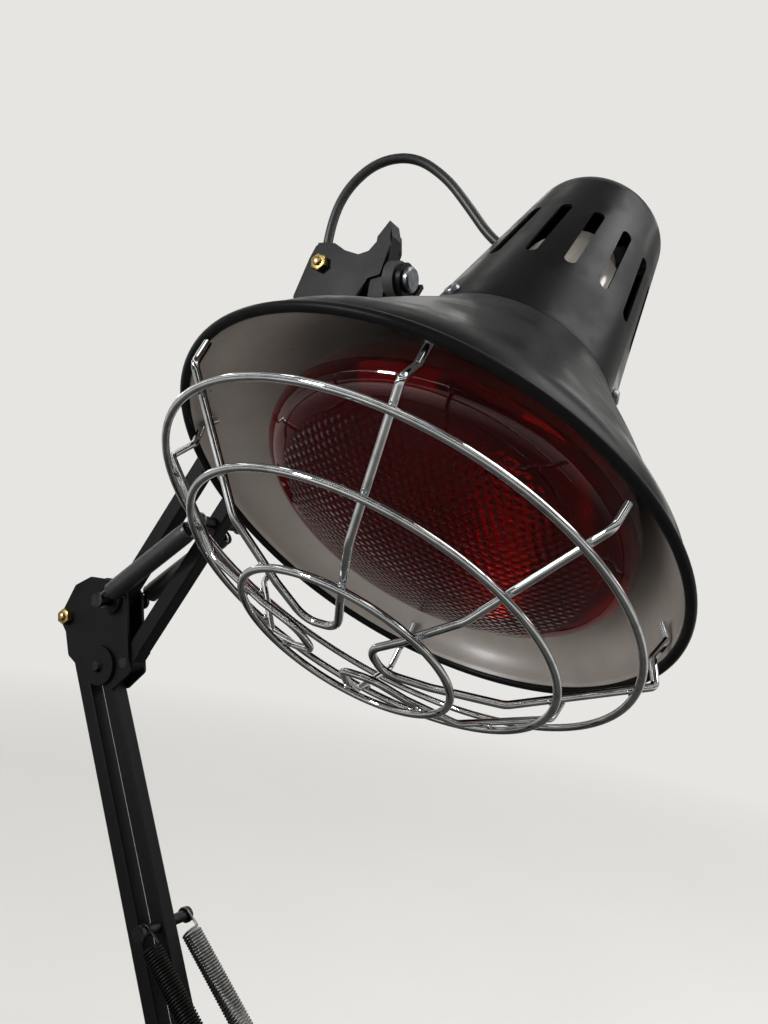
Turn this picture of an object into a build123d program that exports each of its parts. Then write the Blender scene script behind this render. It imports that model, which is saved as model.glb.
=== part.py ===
"""A red heat lamp on a spring-balanced swing arm, with a weighted base.

Frame: +Z up, +X along the arm's plane towards the head, +Y to the far side of the arm.
The origin is the centre of the base's underside. All lengths are in millimetres.
"""

import os
from math import atan2, cos, hypot, pi, radians, sin, sqrt, tan

from build123d import *

os.makedirs("parts", exist_ok=True)

# Sheet, tube and fastener sizes
TUBE = 8.0
TUBE_WALL = 1.0
TUBE_CORNER = 0.9
SHEET = 1.5
SIDE_GAP = 0.3
BOLT_R = 2.5
HEAD_R = 3.4
HEAD_T = 2.0
NUT_FLATS = 7.0
NUT_T = 3.6
THREAD_R = 1.8
THREAD_END = 1.2
STUD_FLATS = 8.0
RUNNING_FIT = 0.05
SEAT_GAP = 0.3
EYE_R = 5.0
EYE_REACH = 9.0
TONGUE = 14.0

# Arm angles and lengths at rest
LOWER_LEAN = 30.0
LOWER_LENGTH = 220.0
UPPER_RISE = 62.0
UPPER_LENGTH = 190.0

# Elbow, in the arm's plane: the rear lower pivot, and the other pivots from it
ELBOW = Vector(-131.0, 0, 285.0)
TO_FRONT_LOWER = Vector(28.3, 0, -18.8)
TO_REAR_UPPER = Vector(28.0, 0, 13.0)
TO_FRONT_UPPER = Vector(41.6, 0, -14.6)
CHEEK_R = 9.5
CHEEK_SMALL_R = 6.5
CHEEK_T = 2.0

# Springs
SPRING_Y = 12.8
SPRING_R = 4.0
SPRING_WIRE = 1.3
SPRING_TURNS = 44
HOOK_LENGTH = 9.0
HOOK_BEND = 2.5
LOWER_PIN_FROM_FOOT = 98.3
UPPER_PIN_ALONG = 83.0
PIN_END_Y = 16.0
PIN_CAP_R = 3.6
PIN_CAP_T = 1.6
ANCHOR_FROM_FRONT_PIVOT = Vector(28.7, 0, 24.3)
SLEEVE_R = 4.7
SLEEVE_WALL = 0.8
SLEEVE_INSET = 7.5

# Base
BASE_R = 100.0
BASE_WALL = 2.0
PAD_T = 2.0
PAD_INSET = 1.0
WEIGHT_GAP = 3.0
WEIGHT_FLAT_R = 40.0
CHANNEL_WIDTH = 8.0
CHANNEL_DEPTH = 10.0
BASE_EDGE_TOP = 16.0
CONE_TOP_R = 26.0
CONE_TOP = 36.0
BASE_BEND = 4.0
BOSS_R = 16.0
BOSS_TOP = 42.0
BUSH_R = 9.0
BUSH_FOOT = 10.0
BUSH_FLANGE_R = 12.5
BUSH_FLANGE_T = 2.0
POST_R = 6.0
POST_FLANGE_R = 13.0
POST_FLANGE_T = 7.7
POST_CLIP_R = 8.0
POST_CLIP_T = 2.5
BRACKET_FOOT_X = 28.0
BRACKET_FOOT_Y = 22.0
SWITCH_AT_R = 64.0
SWITCH_ANGLE = -50.0
SWITCH_LENGTH = 23.0
SWITCH_WIDTH = 12.0
SWITCH_DEPTH = 11.0
SWITCH_RIM = 2.0
SWITCH_RIM_T = 1.6
ROCKER_THROW = 16.0
GLAND_ANGLE = 150.0
GLAND_HEIGHT = 7.5
GLAND_R = 3.5

# Head bracket
HORN_RISE = 20.6
BLOCK_DEPTH = 7.5
BLOCK_SLANT = 2.5
BLOCK_FROM_PIVOT = 33.3
STUD_Z = 460.3
STUD_R = 3.0
FRICTION_DISC_R = 8.0
FRICTION_DISC_T = 5.0
WASHER_R = 5.2
WASHER_T = 1.2
EAR_R = 7.2
STRAP_T = 2.0
NOD_PIVOT_X = 47.0
NOD_DROP = 56.0

# Lamp head: its turn about the stud from straight down, its nod, and the rim's centre
TILT = 34.0
NOD = 5.3
RIM_CENTRE = Vector(87.7, -73.0, 351.5)
RIM_R = 86.0
LIP_R = 1.6
SHADE_WALL = 1.0
NECK_HEIGHT = 69.0
NECK_R = 39.3
COLLAR_R = 35.0
COLLAR_TOP = 80.0
LUG_RING_R = 39.0
LUG_RING_T = 1.0
LUG_TAB = 4.0
LUG_EYE_R = 6.0
CAP_BASE_R = 38.5
CAP_TOP_R = 25.8
CAP_TOP = 166.5
CAP_EDGE = 11.0
SLOT_COUNT = 15
SLOT_WIDTH = 4.5
SLOT_LOW = 100.0
SLOT_HIGH = 135.5
SLOT_FIRST_ANGLE = -61.0
SCREW_FIRST_ANGLE = -112.0
SCREW_HEIGHT = 74.8
SCREW_R = 1.5
SCREW_LENGTH = 4.5
SCREW_HEAD_R = 3.0
SCREW_HEAD_T = 1.6

# Bulb, lamp holder and guard
BULB_LEAN = 2.4
LENS_R = 62.5
LENS_T = 2.5
LENS_FACE_R = 53.0
LENS_FACE_HEIGHT = 0.0
APEX = -8.5
SEAM_HEIGHT = 10.0
REFLECTOR_WALL = 1.6
BULB_NECK_R = 16.0
BULB_NECK_TOP = 92.0
SCREW_BASE_R = 13.2
SCREW_BASE_TOP = 118.0
HOLDER_R = 20.0
HOLDER_LOW = 95.0
HOLDER_TOP = 143.0
BRIDGE_WIDTH = 12.0
GUARD_WIRE_R = 1.2
RING_SIZES = {"large": (79.6, -19.4), "middle": (61.1, -32.9), "small": (34.7, -45.0)}
FIRST_CLIP_ANGLE = 20.5
HAIRPIN_SPAN = 48.5

# Cord between the bracket and the cap
CORD_R = 2.2
CORD_ENTRY_HEIGHT = 150.0
CORD_ENTRY_ANGLE = 165.0
CORD_WAY_IN = Vector(0.813, -0.246, -0.530)
GROMMET_R = 3.4
GROMMET_DEPTH = 3.0
GROMMET_FLANGE_R = 5.2
GROMMET_FLANGE_T = 1.5
GROMMET_SLEEVE = 5.5
HEAD_GROMMET_HALF = 3.0
HEAD_GROMMET_T = 5.2


def save(piece, node):
    """Labels a finished piece and writes it under its node's name."""
    piece.part.label = node
    export_step(piece.part, f"parts/{node}.step")


def in_plane(angle):
    """The unit direction in the arm's plane at an angle above +X."""
    return Vector(cos(radians(angle)), 0, sin(radians(angle)))


PLATE_IN = TUBE / 2 + SIDE_GAP
PLATE_OUT = PLATE_IN + SHEET
BORE_R = BOLT_R + RUNNING_FIT

LOWER_WAY = in_plane(90 + LOWER_LEAN)
UPPER_WAY = in_plane(UPPER_RISE)
REAR_LOWER_TOP = ELBOW
FRONT_LOWER_TOP = ELBOW + TO_FRONT_LOWER
REAR_LOWER_FOOT = REAR_LOWER_TOP - LOWER_WAY * LOWER_LENGTH
FRONT_LOWER_FOOT = FRONT_LOWER_TOP - LOWER_WAY * LOWER_LENGTH
REAR_UPPER_FOOT = ELBOW + TO_REAR_UPPER
FRONT_UPPER_FOOT = ELBOW + TO_FRONT_UPPER
REAR_UPPER_TOP = REAR_UPPER_FOOT + UPPER_WAY * UPPER_LENGTH
FRONT_UPPER_TOP = FRONT_UPPER_FOOT + UPPER_WAY * UPPER_LENGTH
LOWER_PIN = FRONT_LOWER_FOOT + LOWER_WAY * LOWER_PIN_FROM_FOOT
UPPER_PIN = FRONT_UPPER_FOOT + UPPER_WAY * UPPER_PIN_ALONG
ANCHOR = FRONT_LOWER_FOOT + ANCHOR_FROM_FRONT_PIVOT


def across(y):
    """The arm's plane moved to a given y, with sketch axes X and Z."""
    return Plane.XZ.offset(-y)


def disc(points, radius, low_y, high_y, mode=Mode.ADD):
    """Round discs across the arm between two y values, one at each point."""
    with BuildSketch(across(low_y)) as face:
        with Locations([(p.X, p.Z) for p in points]):
            Circle(radius)
    extrude(face.sketch, amount=low_y - high_y, mode=mode)


def dome_heads(points, seat_y, side):
    """Bevelled round bolt heads that stand out from a seat, towards -Y for side -1."""
    turn = 90 if side < 0 else -90
    middle_y = seat_y + side * HEAD_T / 2
    with Locations([Location((p.X, middle_y, p.Z), (turn, 0, 0)) for p in points]):
        Cone(HEAD_R, HEAD_R * 0.62, HEAD_T)


def square_tube(foot, way, length, pin_along=None):
    """A bar's square tube between its two eyes, with a hole for a spring pin."""
    section = Plane(origin=foot + way * EYE_REACH, x_dir=(0, 1, 0), z_dir=way)
    with BuildPart() as tube:
        with BuildSketch(section):
            RectangleRounded(TUBE, TUBE, TUBE_CORNER)
            Rectangle(TUBE - 2 * TUBE_WALL, TUBE - 2 * TUBE_WALL, mode=Mode.SUBTRACT)
        extrude(amount=length - 2 * EYE_REACH)
        if pin_along:
            disc([foot + way * pin_along], BORE_R, -TUBE, TUBE, Mode.SUBTRACT)
    return tube


def bar_eyes(foot, way, length):
    """The two end fittings of a bar: an eye round the bolt and a tongue in the tube."""
    tongue_side = TUBE - 2 * TUBE_WALL - 2 * RUNNING_FIT
    with BuildPart() as eyes:
        for pivot, inward in ((foot, way), (foot + way * length, way * -1)):
            end = Plane(origin=pivot, x_dir=(0, 1, 0), z_dir=inward)
            disc([pivot], EYE_R, -TUBE / 2, TUBE / 2)
            with BuildSketch(end):
                Rectangle(TUBE, TUBE)
            extrude(amount=EYE_REACH)
            with BuildSketch(end.offset(EYE_REACH)):
                Rectangle(tongue_side, tongue_side)
            extrude(amount=TONGUE)
        disc([foot, foot + way * length], BORE_R, -TUBE, TUBE, Mode.SUBTRACT)
    return eyes


# Lower arm: two bars side by side
rear_lower_bar = square_tube(REAR_LOWER_FOOT, LOWER_WAY, LOWER_LENGTH)
save(rear_lower_bar, "rear_lower_bar")
rear_lower_eyes = bar_eyes(REAR_LOWER_FOOT, LOWER_WAY, LOWER_LENGTH)
save(rear_lower_eyes, "rear_lower_eyes")
front_lower_bar = square_tube(FRONT_LOWER_FOOT, LOWER_WAY, LOWER_LENGTH, LOWER_PIN_FROM_FOOT)
save(front_lower_bar, "front_lower_bar")
front_lower_eyes = bar_eyes(FRONT_LOWER_FOOT, LOWER_WAY, LOWER_LENGTH)
save(front_lower_eyes, "front_lower_eyes")

# Upper arm: two bars side by side
rear_upper_bar = square_tube(REAR_UPPER_FOOT, UPPER_WAY, UPPER_LENGTH)
save(rear_upper_bar, "rear_upper_bar")
rear_upper_eyes = bar_eyes(REAR_UPPER_FOOT, UPPER_WAY, UPPER_LENGTH)
save(rear_upper_eyes, "rear_upper_eyes")
front_upper_bar = square_tube(FRONT_UPPER_FOOT, UPPER_WAY, UPPER_LENGTH, UPPER_PIN_ALONG)
save(front_upper_bar, "front_upper_bar")
front_upper_eyes = bar_eyes(FRONT_UPPER_FOOT, UPPER_WAY, UPPER_LENGTH)
save(front_upper_eyes, "front_upper_eyes")


def spring_pin(centre):
    """A cross pin with a rounded cap on each end, which a pair of springs hooks on."""
    with BuildPart() as pin:
        disc([centre], BOLT_R, -PIN_END_Y, PIN_END_Y)
        for low_y in (-PIN_END_Y, PIN_END_Y - PIN_CAP_T):
            disc([centre], PIN_CAP_R, low_y, low_y + PIN_CAP_T)
    return pin


lower_spring_pin = spring_pin(LOWER_PIN)
save(lower_spring_pin, "lower_spring_pin")
upper_spring_pin = spring_pin(UPPER_PIN)
save(upper_spring_pin, "upper_spring_pin")
base_spring_pin = spring_pin(ANCHOR)
save(base_spring_pin, "base_spring_pin")


def plate_pair(name, outline, pivots, corner_r):
    """The near and far side plates of one shape, each a node of its own."""
    for side, low_y in (("near", -PLATE_OUT), ("far", PLATE_IN)):
        with BuildPart() as plate:
            with BuildSketch(across(low_y)) as face:
                with BuildLine():
                    Polyline([(p.X, p.Z) for p in outline], close=True)
                make_face()
                fillet(face.vertices(), corner_r)
                with Locations([(p.X, p.Z) for p in pivots]):
                    Circle(BORE_R, mode=Mode.SUBTRACT)
            extrude(amount=-SHEET)
        save(plate, f"{name}_{side}")


# Elbow: two plates, round cheeks outside them, and the bolts of four pivots
ELBOW_OUTLINE = [
    ELBOW + Vector(x, 0, z)
    for x, z in (
        (-6, -1.5), (1.2, 16.4), (10.8, 22.2), (24, 22.8), (31, 22), (36.2, 18),
        (47, -18.5), (37.5, -29), (20, -26), (5, -18.5), (0.2, -7.5),
    )
]
ELBOW_PIVOTS = [REAR_LOWER_TOP, FRONT_LOWER_TOP, REAR_UPPER_FOOT, FRONT_UPPER_FOOT]
plate_pair("elbow_plate", ELBOW_OUTLINE, ELBOW_PIVOTS, 2.5)

CHEEK_IN = PLATE_OUT + RUNNING_FIT
CHEEK_OUT = CHEEK_IN + CHEEK_T
with BuildPart() as elbow_cheeks:
    for low_y in (-CHEEK_OUT, CHEEK_IN):
        disc([FRONT_LOWER_TOP], CHEEK_R, low_y, low_y + CHEEK_T)
        disc([REAR_UPPER_FOOT], CHEEK_SMALL_R, low_y, low_y + CHEEK_T)
    disc([FRONT_LOWER_TOP, REAR_UPPER_FOOT], BORE_R, -CHEEK_OUT, CHEEK_OUT, Mode.SUBTRACT)
save(elbow_cheeks, "elbow_cheeks")

NUT_END_Y = -PLATE_OUT - NUT_T - THREAD_END
with BuildPart() as elbow_bolts:
    disc([REAR_LOWER_TOP], THREAD_R, NUT_END_Y, -PLATE_OUT)
    disc([REAR_LOWER_TOP], BOLT_R, -PLATE_OUT, PLATE_OUT)
    dome_heads([REAR_LOWER_TOP], PLATE_OUT, 1)
    disc([FRONT_UPPER_FOOT], BOLT_R, -PLATE_OUT, PLATE_OUT)
    for side in (-1, 1):
        dome_heads([FRONT_LOWER_TOP], side * CHEEK_OUT, side)
    disc([FRONT_LOWER_TOP], BOLT_R, -CHEEK_OUT, CHEEK_OUT)
    disc([REAR_UPPER_FOOT], BOLT_R, -PIN_END_Y, PIN_END_Y)
    for low_y in (-PIN_END_Y, PIN_END_Y - PIN_CAP_T):
        disc([REAR_UPPER_FOOT], PIN_CAP_R, low_y, low_y + PIN_CAP_T)
save(elbow_bolts, "elbow_bolts")


def hex_nuts(points, turn=0):
    """Hexagon nuts on the near side of a plate."""
    with BuildPart() as nuts:
        with BuildSketch(across(-PLATE_OUT)) as section:
            with Locations([(p.X, p.Z) for p in points]):
                RegularPolygon(NUT_FLATS / 2, 6, major_radius=False, rotation=turn)
                Circle(THREAD_R + RUNNING_FIT, mode=Mode.SUBTRACT)
        extrude(amount=NUT_T)
        chamfer(nuts.edges().filter_by(Plane.XZ).filter_by(GeomType.LINE), 0.5)
    return nuts


elbow_nut = hex_nuts([REAR_LOWER_TOP], 15)
save(elbow_nut, "elbow_nut")


def coil_knots(radius, low, high, turns):
    """Points and directions each half turn along a helix about the local Z axis."""
    pitch = (high - low) / turns
    climb = pitch / (2 * pi)
    knots = []
    for step in range(1, 2 * turns):
        angle = pi * step
        point = Vector(radius * cos(angle), radius * sin(angle), low + climb * angle)
        way = Vector(-radius * sin(angle), radius * cos(angle), climb).normalized()
        knots.append((point, way))
    return knots


def biarc(start, start_way, end, end_way):
    """Two tangent arcs that join two points in given directions."""
    chord = end - start
    ways = start_way + end_way
    turn = 2 * (1 - start_way.dot(end_way))
    along = chord.dot(ways)
    square = chord.dot(chord)
    reach = square / (sqrt(along**2 + turn * square) + along)
    middle = (start + end + (start_way - end_way) * reach) * 0.5
    middle_way = ((end - end_way * reach) - (start + start_way * reach)).normalized()
    TangentArc(start, middle, tangent=start_way)
    TangentArc(middle, end, tangent=middle_way)


def extension_spring(start, end):
    """One unbroken wire, bent along Z and then set between two pins: hook, close coils, hook."""
    length = (end - start).length
    hook_r = BOLT_R + SPRING_WIRE / 2 + RUNNING_FIT
    down = Vector(0, 0, -1)
    up = Vector(0, 0, 1)
    coil_low = HOOK_LENGTH
    coil_high = length - HOOK_LENGTH
    knots = [
        (Vector(0, -hook_r, 0), down),
        (Vector(0, hook_r, 0), up),
        (Vector(0, SPRING_R, coil_low - HOOK_BEND), up),
    ]
    knots += coil_knots(SPRING_R, coil_low, coil_high, SPRING_TURNS)
    knots += [
        (Vector(0, SPRING_R, coil_high + HOOK_BEND), up),
        (Vector(0, hook_r, length), up),
        (Vector(0, -hook_r, length), down),
    ]
    with BuildPart() as bent:
        with BuildLine():
            for (p, p_way), (q, q_way) in zip(knots, knots[1:]):
                biarc(p, p_way, q, q_way)
        with BuildSketch(Plane(origin=knots[0][0], z_dir=knots[0][1])):
            Circle(SPRING_WIRE / 2)
        sweep()
    pitch = (coil_high - coil_low) / SPRING_TURNS
    print("spring pitch", round(pitch, 2), "least gap between turns", round(pitch - SPRING_WIRE, 2))
    with BuildPart() as spring:
        add(bent.part.moved(Plane(origin=start, x_dir=(0, 1, 0), z_dir=end - start).location))
    return spring


def at_y(point, y):
    """A point of the arm's plane moved to a given y."""
    return Vector(point.X, y, point.Z)


for side, y in (("near", -SPRING_Y), ("far", SPRING_Y)):
    lower_spring = extension_spring(at_y(LOWER_PIN, y), at_y(ANCHOR, y))
    save(lower_spring, f"lower_spring_{side}")

# Upper springs: each runs inside a plain black sleeve, with a hook at both ends
UPPER_SPRING_LENGTH = (UPPER_PIN - REAR_UPPER_FOOT).length
UPPER_SPRING_WAY = (UPPER_PIN - REAR_UPPER_FOOT).normalized()
SLEEVE_LENGTH = UPPER_SPRING_LENGTH - 2 * SLEEVE_INSET
HOOK_REACH = SLEEVE_INSET + 3.0
PIN_HOLE_R = BOLT_R + RUNNING_FIT


def along_spring(y, distance):
    """A plane across the upper spring at a given y, at a distance from its lower pin."""
    origin = at_y(REAR_UPPER_FOOT, y) + UPPER_SPRING_WAY * distance
    return Plane(origin=origin, x_dir=(0, 1, 0), z_dir=UPPER_SPRING_WAY)


for side, y in (("near", -SPRING_Y), ("far", SPRING_Y)):
    with BuildPart() as sleeve:
        with BuildSketch(along_spring(y, SLEEVE_INSET)):
            Circle(SLEEVE_R)
            Circle(SLEEVE_R - SLEEVE_WALL, mode=Mode.SUBTRACT)
        extrude(amount=SLEEVE_LENGTH)
    save(sleeve, f"upper_spring_sleeve_{side}")

with BuildPart() as upper_springs:
    for y in (-SPRING_Y, SPRING_Y):
        with BuildSketch(along_spring(y, SLEEVE_INSET + 1)):
            Circle(SLEEVE_R - SLEEVE_WALL)
        extrude(amount=SLEEVE_LENGTH - 2)
        for pin, inward in ((at_y(REAR_UPPER_FOOT, y), 1), (at_y(UPPER_PIN, y), -1)):
            hook = Plane(origin=pin, x_dir=UPPER_SPRING_WAY, z_dir=(0, 1, 0))
            with BuildSketch(hook.offset(-SPRING_WIRE / 2)):
                Circle(PIN_HOLE_R + SPRING_WIRE)
                with Locations((inward * HOOK_REACH / 2, 0)):
                    Rectangle(HOOK_REACH, SPRING_WIRE)
                Circle(PIN_HOLE_R, mode=Mode.SUBTRACT)
            extrude(amount=SPRING_WIRE)
save(upper_springs, "upper_springs")

# Head bracket: two plates, a block between them and the bolts of two pivots
HEAD_OUTLINE = [
    REAR_UPPER_TOP + Vector(x, 0, z)
    for x, z in (
        (-7.2, 3), (-4.6, 8.9), (0.5, 10.3), (5.3, 9.6), (11.2, 6.2), (18.4, 4.2), (23.4, 5.6),
        (27.5, 10.6), (31.2, HORN_RISE), (33.6, 8), (31, -5), (25.4, -6.5), (19.2, -17),
        (22, -27), (17, -36), (7, -36), (-3, -30), (-12.7, -15),
    )
]
plate_pair("head_plate", HEAD_OUTLINE, [REAR_UPPER_TOP, FRONT_UPPER_TOP], 1.6)

BLOCK_FRONT = REAR_UPPER_TOP.X + BLOCK_FROM_PIVOT
BLOCK_BACK = BLOCK_FRONT - BLOCK_DEPTH
BLOCK_FOOT = STUD_Z - 9.0
BLOCK_TOP = REAR_UPPER_TOP.Z + HORN_RISE - 1.0
BLOCK_SHOULDER = BLOCK_TOP - 7.0
with BuildPart() as head_block:
    with BuildSketch(across(PLATE_IN)) as face:
        with BuildLine():
            Polyline(
                (BLOCK_BACK, BLOCK_FOOT), (BLOCK_FRONT, BLOCK_FOOT), (BLOCK_FRONT, BLOCK_SHOULDER),
                (BLOCK_FRONT - BLOCK_SLANT, BLOCK_TOP), (BLOCK_BACK, BLOCK_SHOULDER), close=True,
            )
        make_face()
    extrude(amount=2 * PLATE_IN)
    with BuildSketch(Plane(origin=(BLOCK_BACK, 0, STUD_Z), x_dir=(0, 1, 0), z_dir=(1, 0, 0))):
        Circle(STUD_R + RUNNING_FIT)
    extrude(amount=BLOCK_FRONT - BLOCK_BACK, mode=Mode.SUBTRACT)
save(head_block, "head_block")

with BuildPart() as head_bolts:
    disc([REAR_UPPER_TOP], THREAD_R, NUT_END_Y, -PLATE_OUT)
    disc([REAR_UPPER_TOP, FRONT_UPPER_TOP], BOLT_R, -PLATE_OUT, PLATE_OUT)
    dome_heads([REAR_UPPER_TOP, FRONT_UPPER_TOP], PLATE_OUT, 1)
    dome_heads([FRONT_UPPER_TOP], -PLATE_OUT, -1)
save(head_bolts, "head_bolts")
head_nut = hex_nuts([REAR_UPPER_TOP], 10)
save(head_nut, "head_nut")

# Tilt joint: a stud along X through the block, a friction disc and a washer
STUD_PLANE = Plane(origin=(BLOCK_BACK, 0, STUD_Z), x_dir=(0, 1, 0), z_dir=(1, 0, 0))
STUD_HEAD_T = 3.0
STUD_CAP_R = 5.5
DISC_AT = BLOCK_DEPTH + SEAT_GAP
WASHER_AT = DISC_AT + FRICTION_DISC_T
EAR_AT = WASHER_AT + WASHER_T
STUD_END = EAR_AT + STRAP_T + RUNNING_FIT


def stud_rings(outer_r, inner_r, start, thickness):
    """A ring about the stud's axis, from a place along it."""
    with BuildPart() as ring:
        with BuildSketch(STUD_PLANE.offset(start)):
            Circle(outer_r)
            Circle(inner_r, mode=Mode.SUBTRACT)
        extrude(amount=thickness)
    return ring


with BuildPart() as tilt_stud:
    with BuildSketch(STUD_PLANE.offset(-SEAT_GAP)):
        Circle(STUD_R)
    extrude(amount=STUD_END + SEAT_GAP)
    with BuildSketch(STUD_PLANE.offset(-SEAT_GAP)):
        RegularPolygon(STUD_FLATS / 2, 6, major_radius=False, rotation=30)
    extrude(amount=-STUD_HEAD_T)
    with BuildSketch(STUD_PLANE.offset(STUD_END)):
        Circle(STUD_CAP_R)
    extrude(amount=STUD_HEAD_T)
    chamfer(tilt_stud.faces().sort_by(Axis.X)[-1].edges(), 0.8)
save(tilt_stud, "tilt_stud")
friction_disc = stud_rings(FRICTION_DISC_R, STUD_R + RUNNING_FIT, DISC_AT, FRICTION_DISC_T)
save(friction_disc, "friction_disc")
tilt_washer = stud_rings(WASHER_R, STUD_R + RUNNING_FIT, WASHER_AT, WASHER_T)
save(tilt_washer, "tilt_washer")

# Swivel strap: an ear on the stud and a flat leg down to the nod pivot.
# Its frame has X, the lamp's axis before the nod, and the nod axis.
AXIS_WAY = Vector(0, sin(radians(TILT)), cos(radians(TILT)))
NOD_WAY = Vector(0, cos(radians(TILT)), -sin(radians(TILT)))
STUD_CENTRE = Vector(0, 0, STUD_Z)
EAR_X = BLOCK_BACK + EAR_AT
LEG_OFFSET = EAR_R + 0.5
NOD_PIVOT = Vector(NOD_PIVOT_X, 0, STUD_Z) - AXIS_WAY * NOD_DROP
STRAP_HALF = 6.5


def strap_face(offset):
    """A plane across the nod axis, with sketch axes X and along the lamp."""
    return Plane(origin=STUD_CENTRE + NOD_WAY * offset, x_dir=(1, 0, 0), z_dir=NOD_WAY * -1)


with BuildPart() as swivel_strap:
    with BuildSketch(Plane(origin=(EAR_X, 0, STUD_Z), x_dir=NOD_WAY, z_dir=(1, 0, 0))):
        Circle(EAR_R)
        with Locations(((LEG_OFFSET + STRAP_T) / 2, 0)):
            Rectangle(LEG_OFFSET + STRAP_T, 2 * EAR_R)
        Circle(STUD_R + RUNNING_FIT, mode=Mode.SUBTRACT)
    extrude(amount=STRAP_T)
    with BuildSketch(strap_face(LEG_OFFSET + STRAP_T)):
        with BuildLine():
            Polyline(
                (EAR_X, EAR_R), (EAR_X + 2 * STRAP_T, EAR_R), (EAR_X + 2 * STRAP_T, -5),
                (NOD_PIVOT.X + STRAP_HALF, 8 - NOD_DROP), (NOD_PIVOT.X + STRAP_HALF, -NOD_DROP),
                (NOD_PIVOT.X - STRAP_HALF, -NOD_DROP), (EAR_X, -EAR_R), close=True,
            )
        make_face()
        with Locations((NOD_PIVOT.X, -NOD_DROP)):
            Circle(STRAP_HALF)
            Circle(BORE_R, mode=Mode.SUBTRACT)
    extrude(amount=STRAP_T)
save(swivel_strap, "swivel_strap")

# The lamp head's own frame: its axis runs from the opening to the cap
HEAD_AXIS = AXIS_WAY * cos(radians(NOD)) + Vector(1, 0, 0) * sin(radians(NOD))
HEAD_X = Vector(1, 0, 0) * cos(radians(NOD)) - AXIS_WAY * sin(radians(NOD))
HEAD_Y = HEAD_AXIS.cross(HEAD_X)
MERIDIAN = Plane(origin=RIM_CENTRE, x_dir=HEAD_X, z_dir=HEAD_Y * -1)
SPIN = Axis(RIM_CENTRE, HEAD_AXIS)


def level(height):
    """A plane across the lamp's axis at a height above the rim."""
    return Plane(origin=RIM_CENTRE + HEAD_AXIS * height, x_dir=HEAD_X, z_dir=HEAD_AXIS)


def head_point(radius, angle, height):
    """A point in the lamp head's frame, from its radius, angle and height."""
    turned = HEAD_X * cos(radians(angle)) + HEAD_Y * sin(radians(angle))
    return RIM_CENTRE + turned * radius + HEAD_AXIS * height


def inset(points, distance):
    """A curve's points moved to the left of its run."""
    moved = []
    for i, (r, h) in enumerate(points):
        r0, h0 = points[max(i - 1, 0)]
        r1, h1 = points[min(i + 1, len(points) - 1)]
        run = hypot(r1 - r0, h1 - h0)
        moved.append((r - (h1 - h0) / run * distance, h + (r1 - r0) / run * distance))
    return moved


RING_FOOT = NECK_HEIGHT + SHADE_WALL / 2
CAP_FOOT = RING_FOOT + LUG_RING_T


def cap_radius(height):
    """The cap's outer radius at a height above the rim."""
    share = (height - CAP_FOOT) / (CAP_TOP - CAP_FOOT)
    return CAP_BASE_R + (CAP_TOP_R - CAP_BASE_R) * share


def cap_plane(angle, height):
    """A plane that lies on the cap's side at an angle and height, facing outward."""
    outward = head_point(1, angle, 0) - RIM_CENTRE
    slope = (CAP_BASE_R - CAP_TOP_R) / (CAP_TOP - CAP_FOOT)
    facing = (outward + HEAD_AXIS * slope).normalized()
    on_side = head_point(cap_radius(height), angle, height)
    return Plane(origin=on_side, x_dir=HEAD_AXIS.cross(outward), z_dir=facing)


SCREW_ANGLES = [SCREW_FIRST_ANGLE + 120 * count for count in range(3)]

# Shade: a bell with a rolled lip, and a collar that the cap is screwed to
BELL = [(RIM_R - 1.0, 1.0), (81.8, 10.0), (70.0, 25.0), (58.8, 41.0), (48.5, 55.0), (NECK_R, NECK_HEIGHT)]
BELL_INNER = inset(BELL, SHADE_WALL)
with BuildPart() as shade:
    with BuildSketch(MERIDIAN):
        with BuildLine():
            Spline(BELL)
            Polyline(
                BELL[-1], (COLLAR_R, NECK_HEIGHT + 0.5), (COLLAR_R, COLLAR_TOP),
                (COLLAR_R - SHADE_WALL, COLLAR_TOP), (COLLAR_R - SHADE_WALL, NECK_HEIGHT - 0.5),
                BELL_INNER[-1],
            )
            Spline(BELL_INNER)
            Line(BELL_INNER[0], BELL[0])
        make_face()
    revolve(axis=SPIN)
    with BuildSketch(MERIDIAN):
        with Locations((RIM_R, 0)):
            Circle(LIP_R)
    revolve(axis=SPIN)
    for angle in SCREW_ANGLES:
        with BuildSketch(cap_plane(angle, SCREW_HEIGHT)):
            Circle(SCREW_R + RUNNING_FIT)
        extrude(amount=COLLAR_R - CAP_BASE_R - 3 * SHADE_WALL, mode=Mode.SUBTRACT)
save(shade, "shade")

# Lug: a ring under the cap's foot with a plate beside the strap for the nod pivot
LUG_FAR = LEG_OFFSET - RUNNING_FIT
LUG_SIDE = LUG_FAR - (RIM_CENTRE - STUD_CENTRE).dot(NOD_WAY)
PIVOT_R = (NOD_PIVOT - RIM_CENTRE).dot(HEAD_X)
PIVOT_HEIGHT = (NOD_PIVOT - RIM_CENTRE).dot(HEAD_AXIS)
with BuildPart() as neck_lug:
    with BuildSketch(level(RING_FOOT)):
        Circle(LUG_RING_R)
        with Locations((-LUG_RING_R, LUG_SIDE / 2)):
            Rectangle(2 * LUG_TAB, LUG_SIDE)
        Circle(COLLAR_R + RUNNING_FIT, mode=Mode.SUBTRACT)
    extrude(amount=LUG_RING_T)
    with BuildSketch(MERIDIAN.offset(-LUG_SIDE)) as face:
        with BuildLine():
            Polyline(
                (PIVOT_R, PIVOT_HEIGHT - LUG_EYE_R), (-LUG_RING_R - LUG_TAB, RING_FOOT - 2),
                (-LUG_RING_R, RING_FOOT), (-LUG_RING_R, PIVOT_HEIGHT + LUG_EYE_R - 1),
                (PIVOT_R, PIVOT_HEIGHT + LUG_EYE_R), close=True,
            )
        make_face()
        with Locations((PIVOT_R, PIVOT_HEIGHT)):
            Circle(LUG_EYE_R)
            Circle(BORE_R, mode=Mode.SUBTRACT)
    extrude(amount=SHEET)
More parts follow.
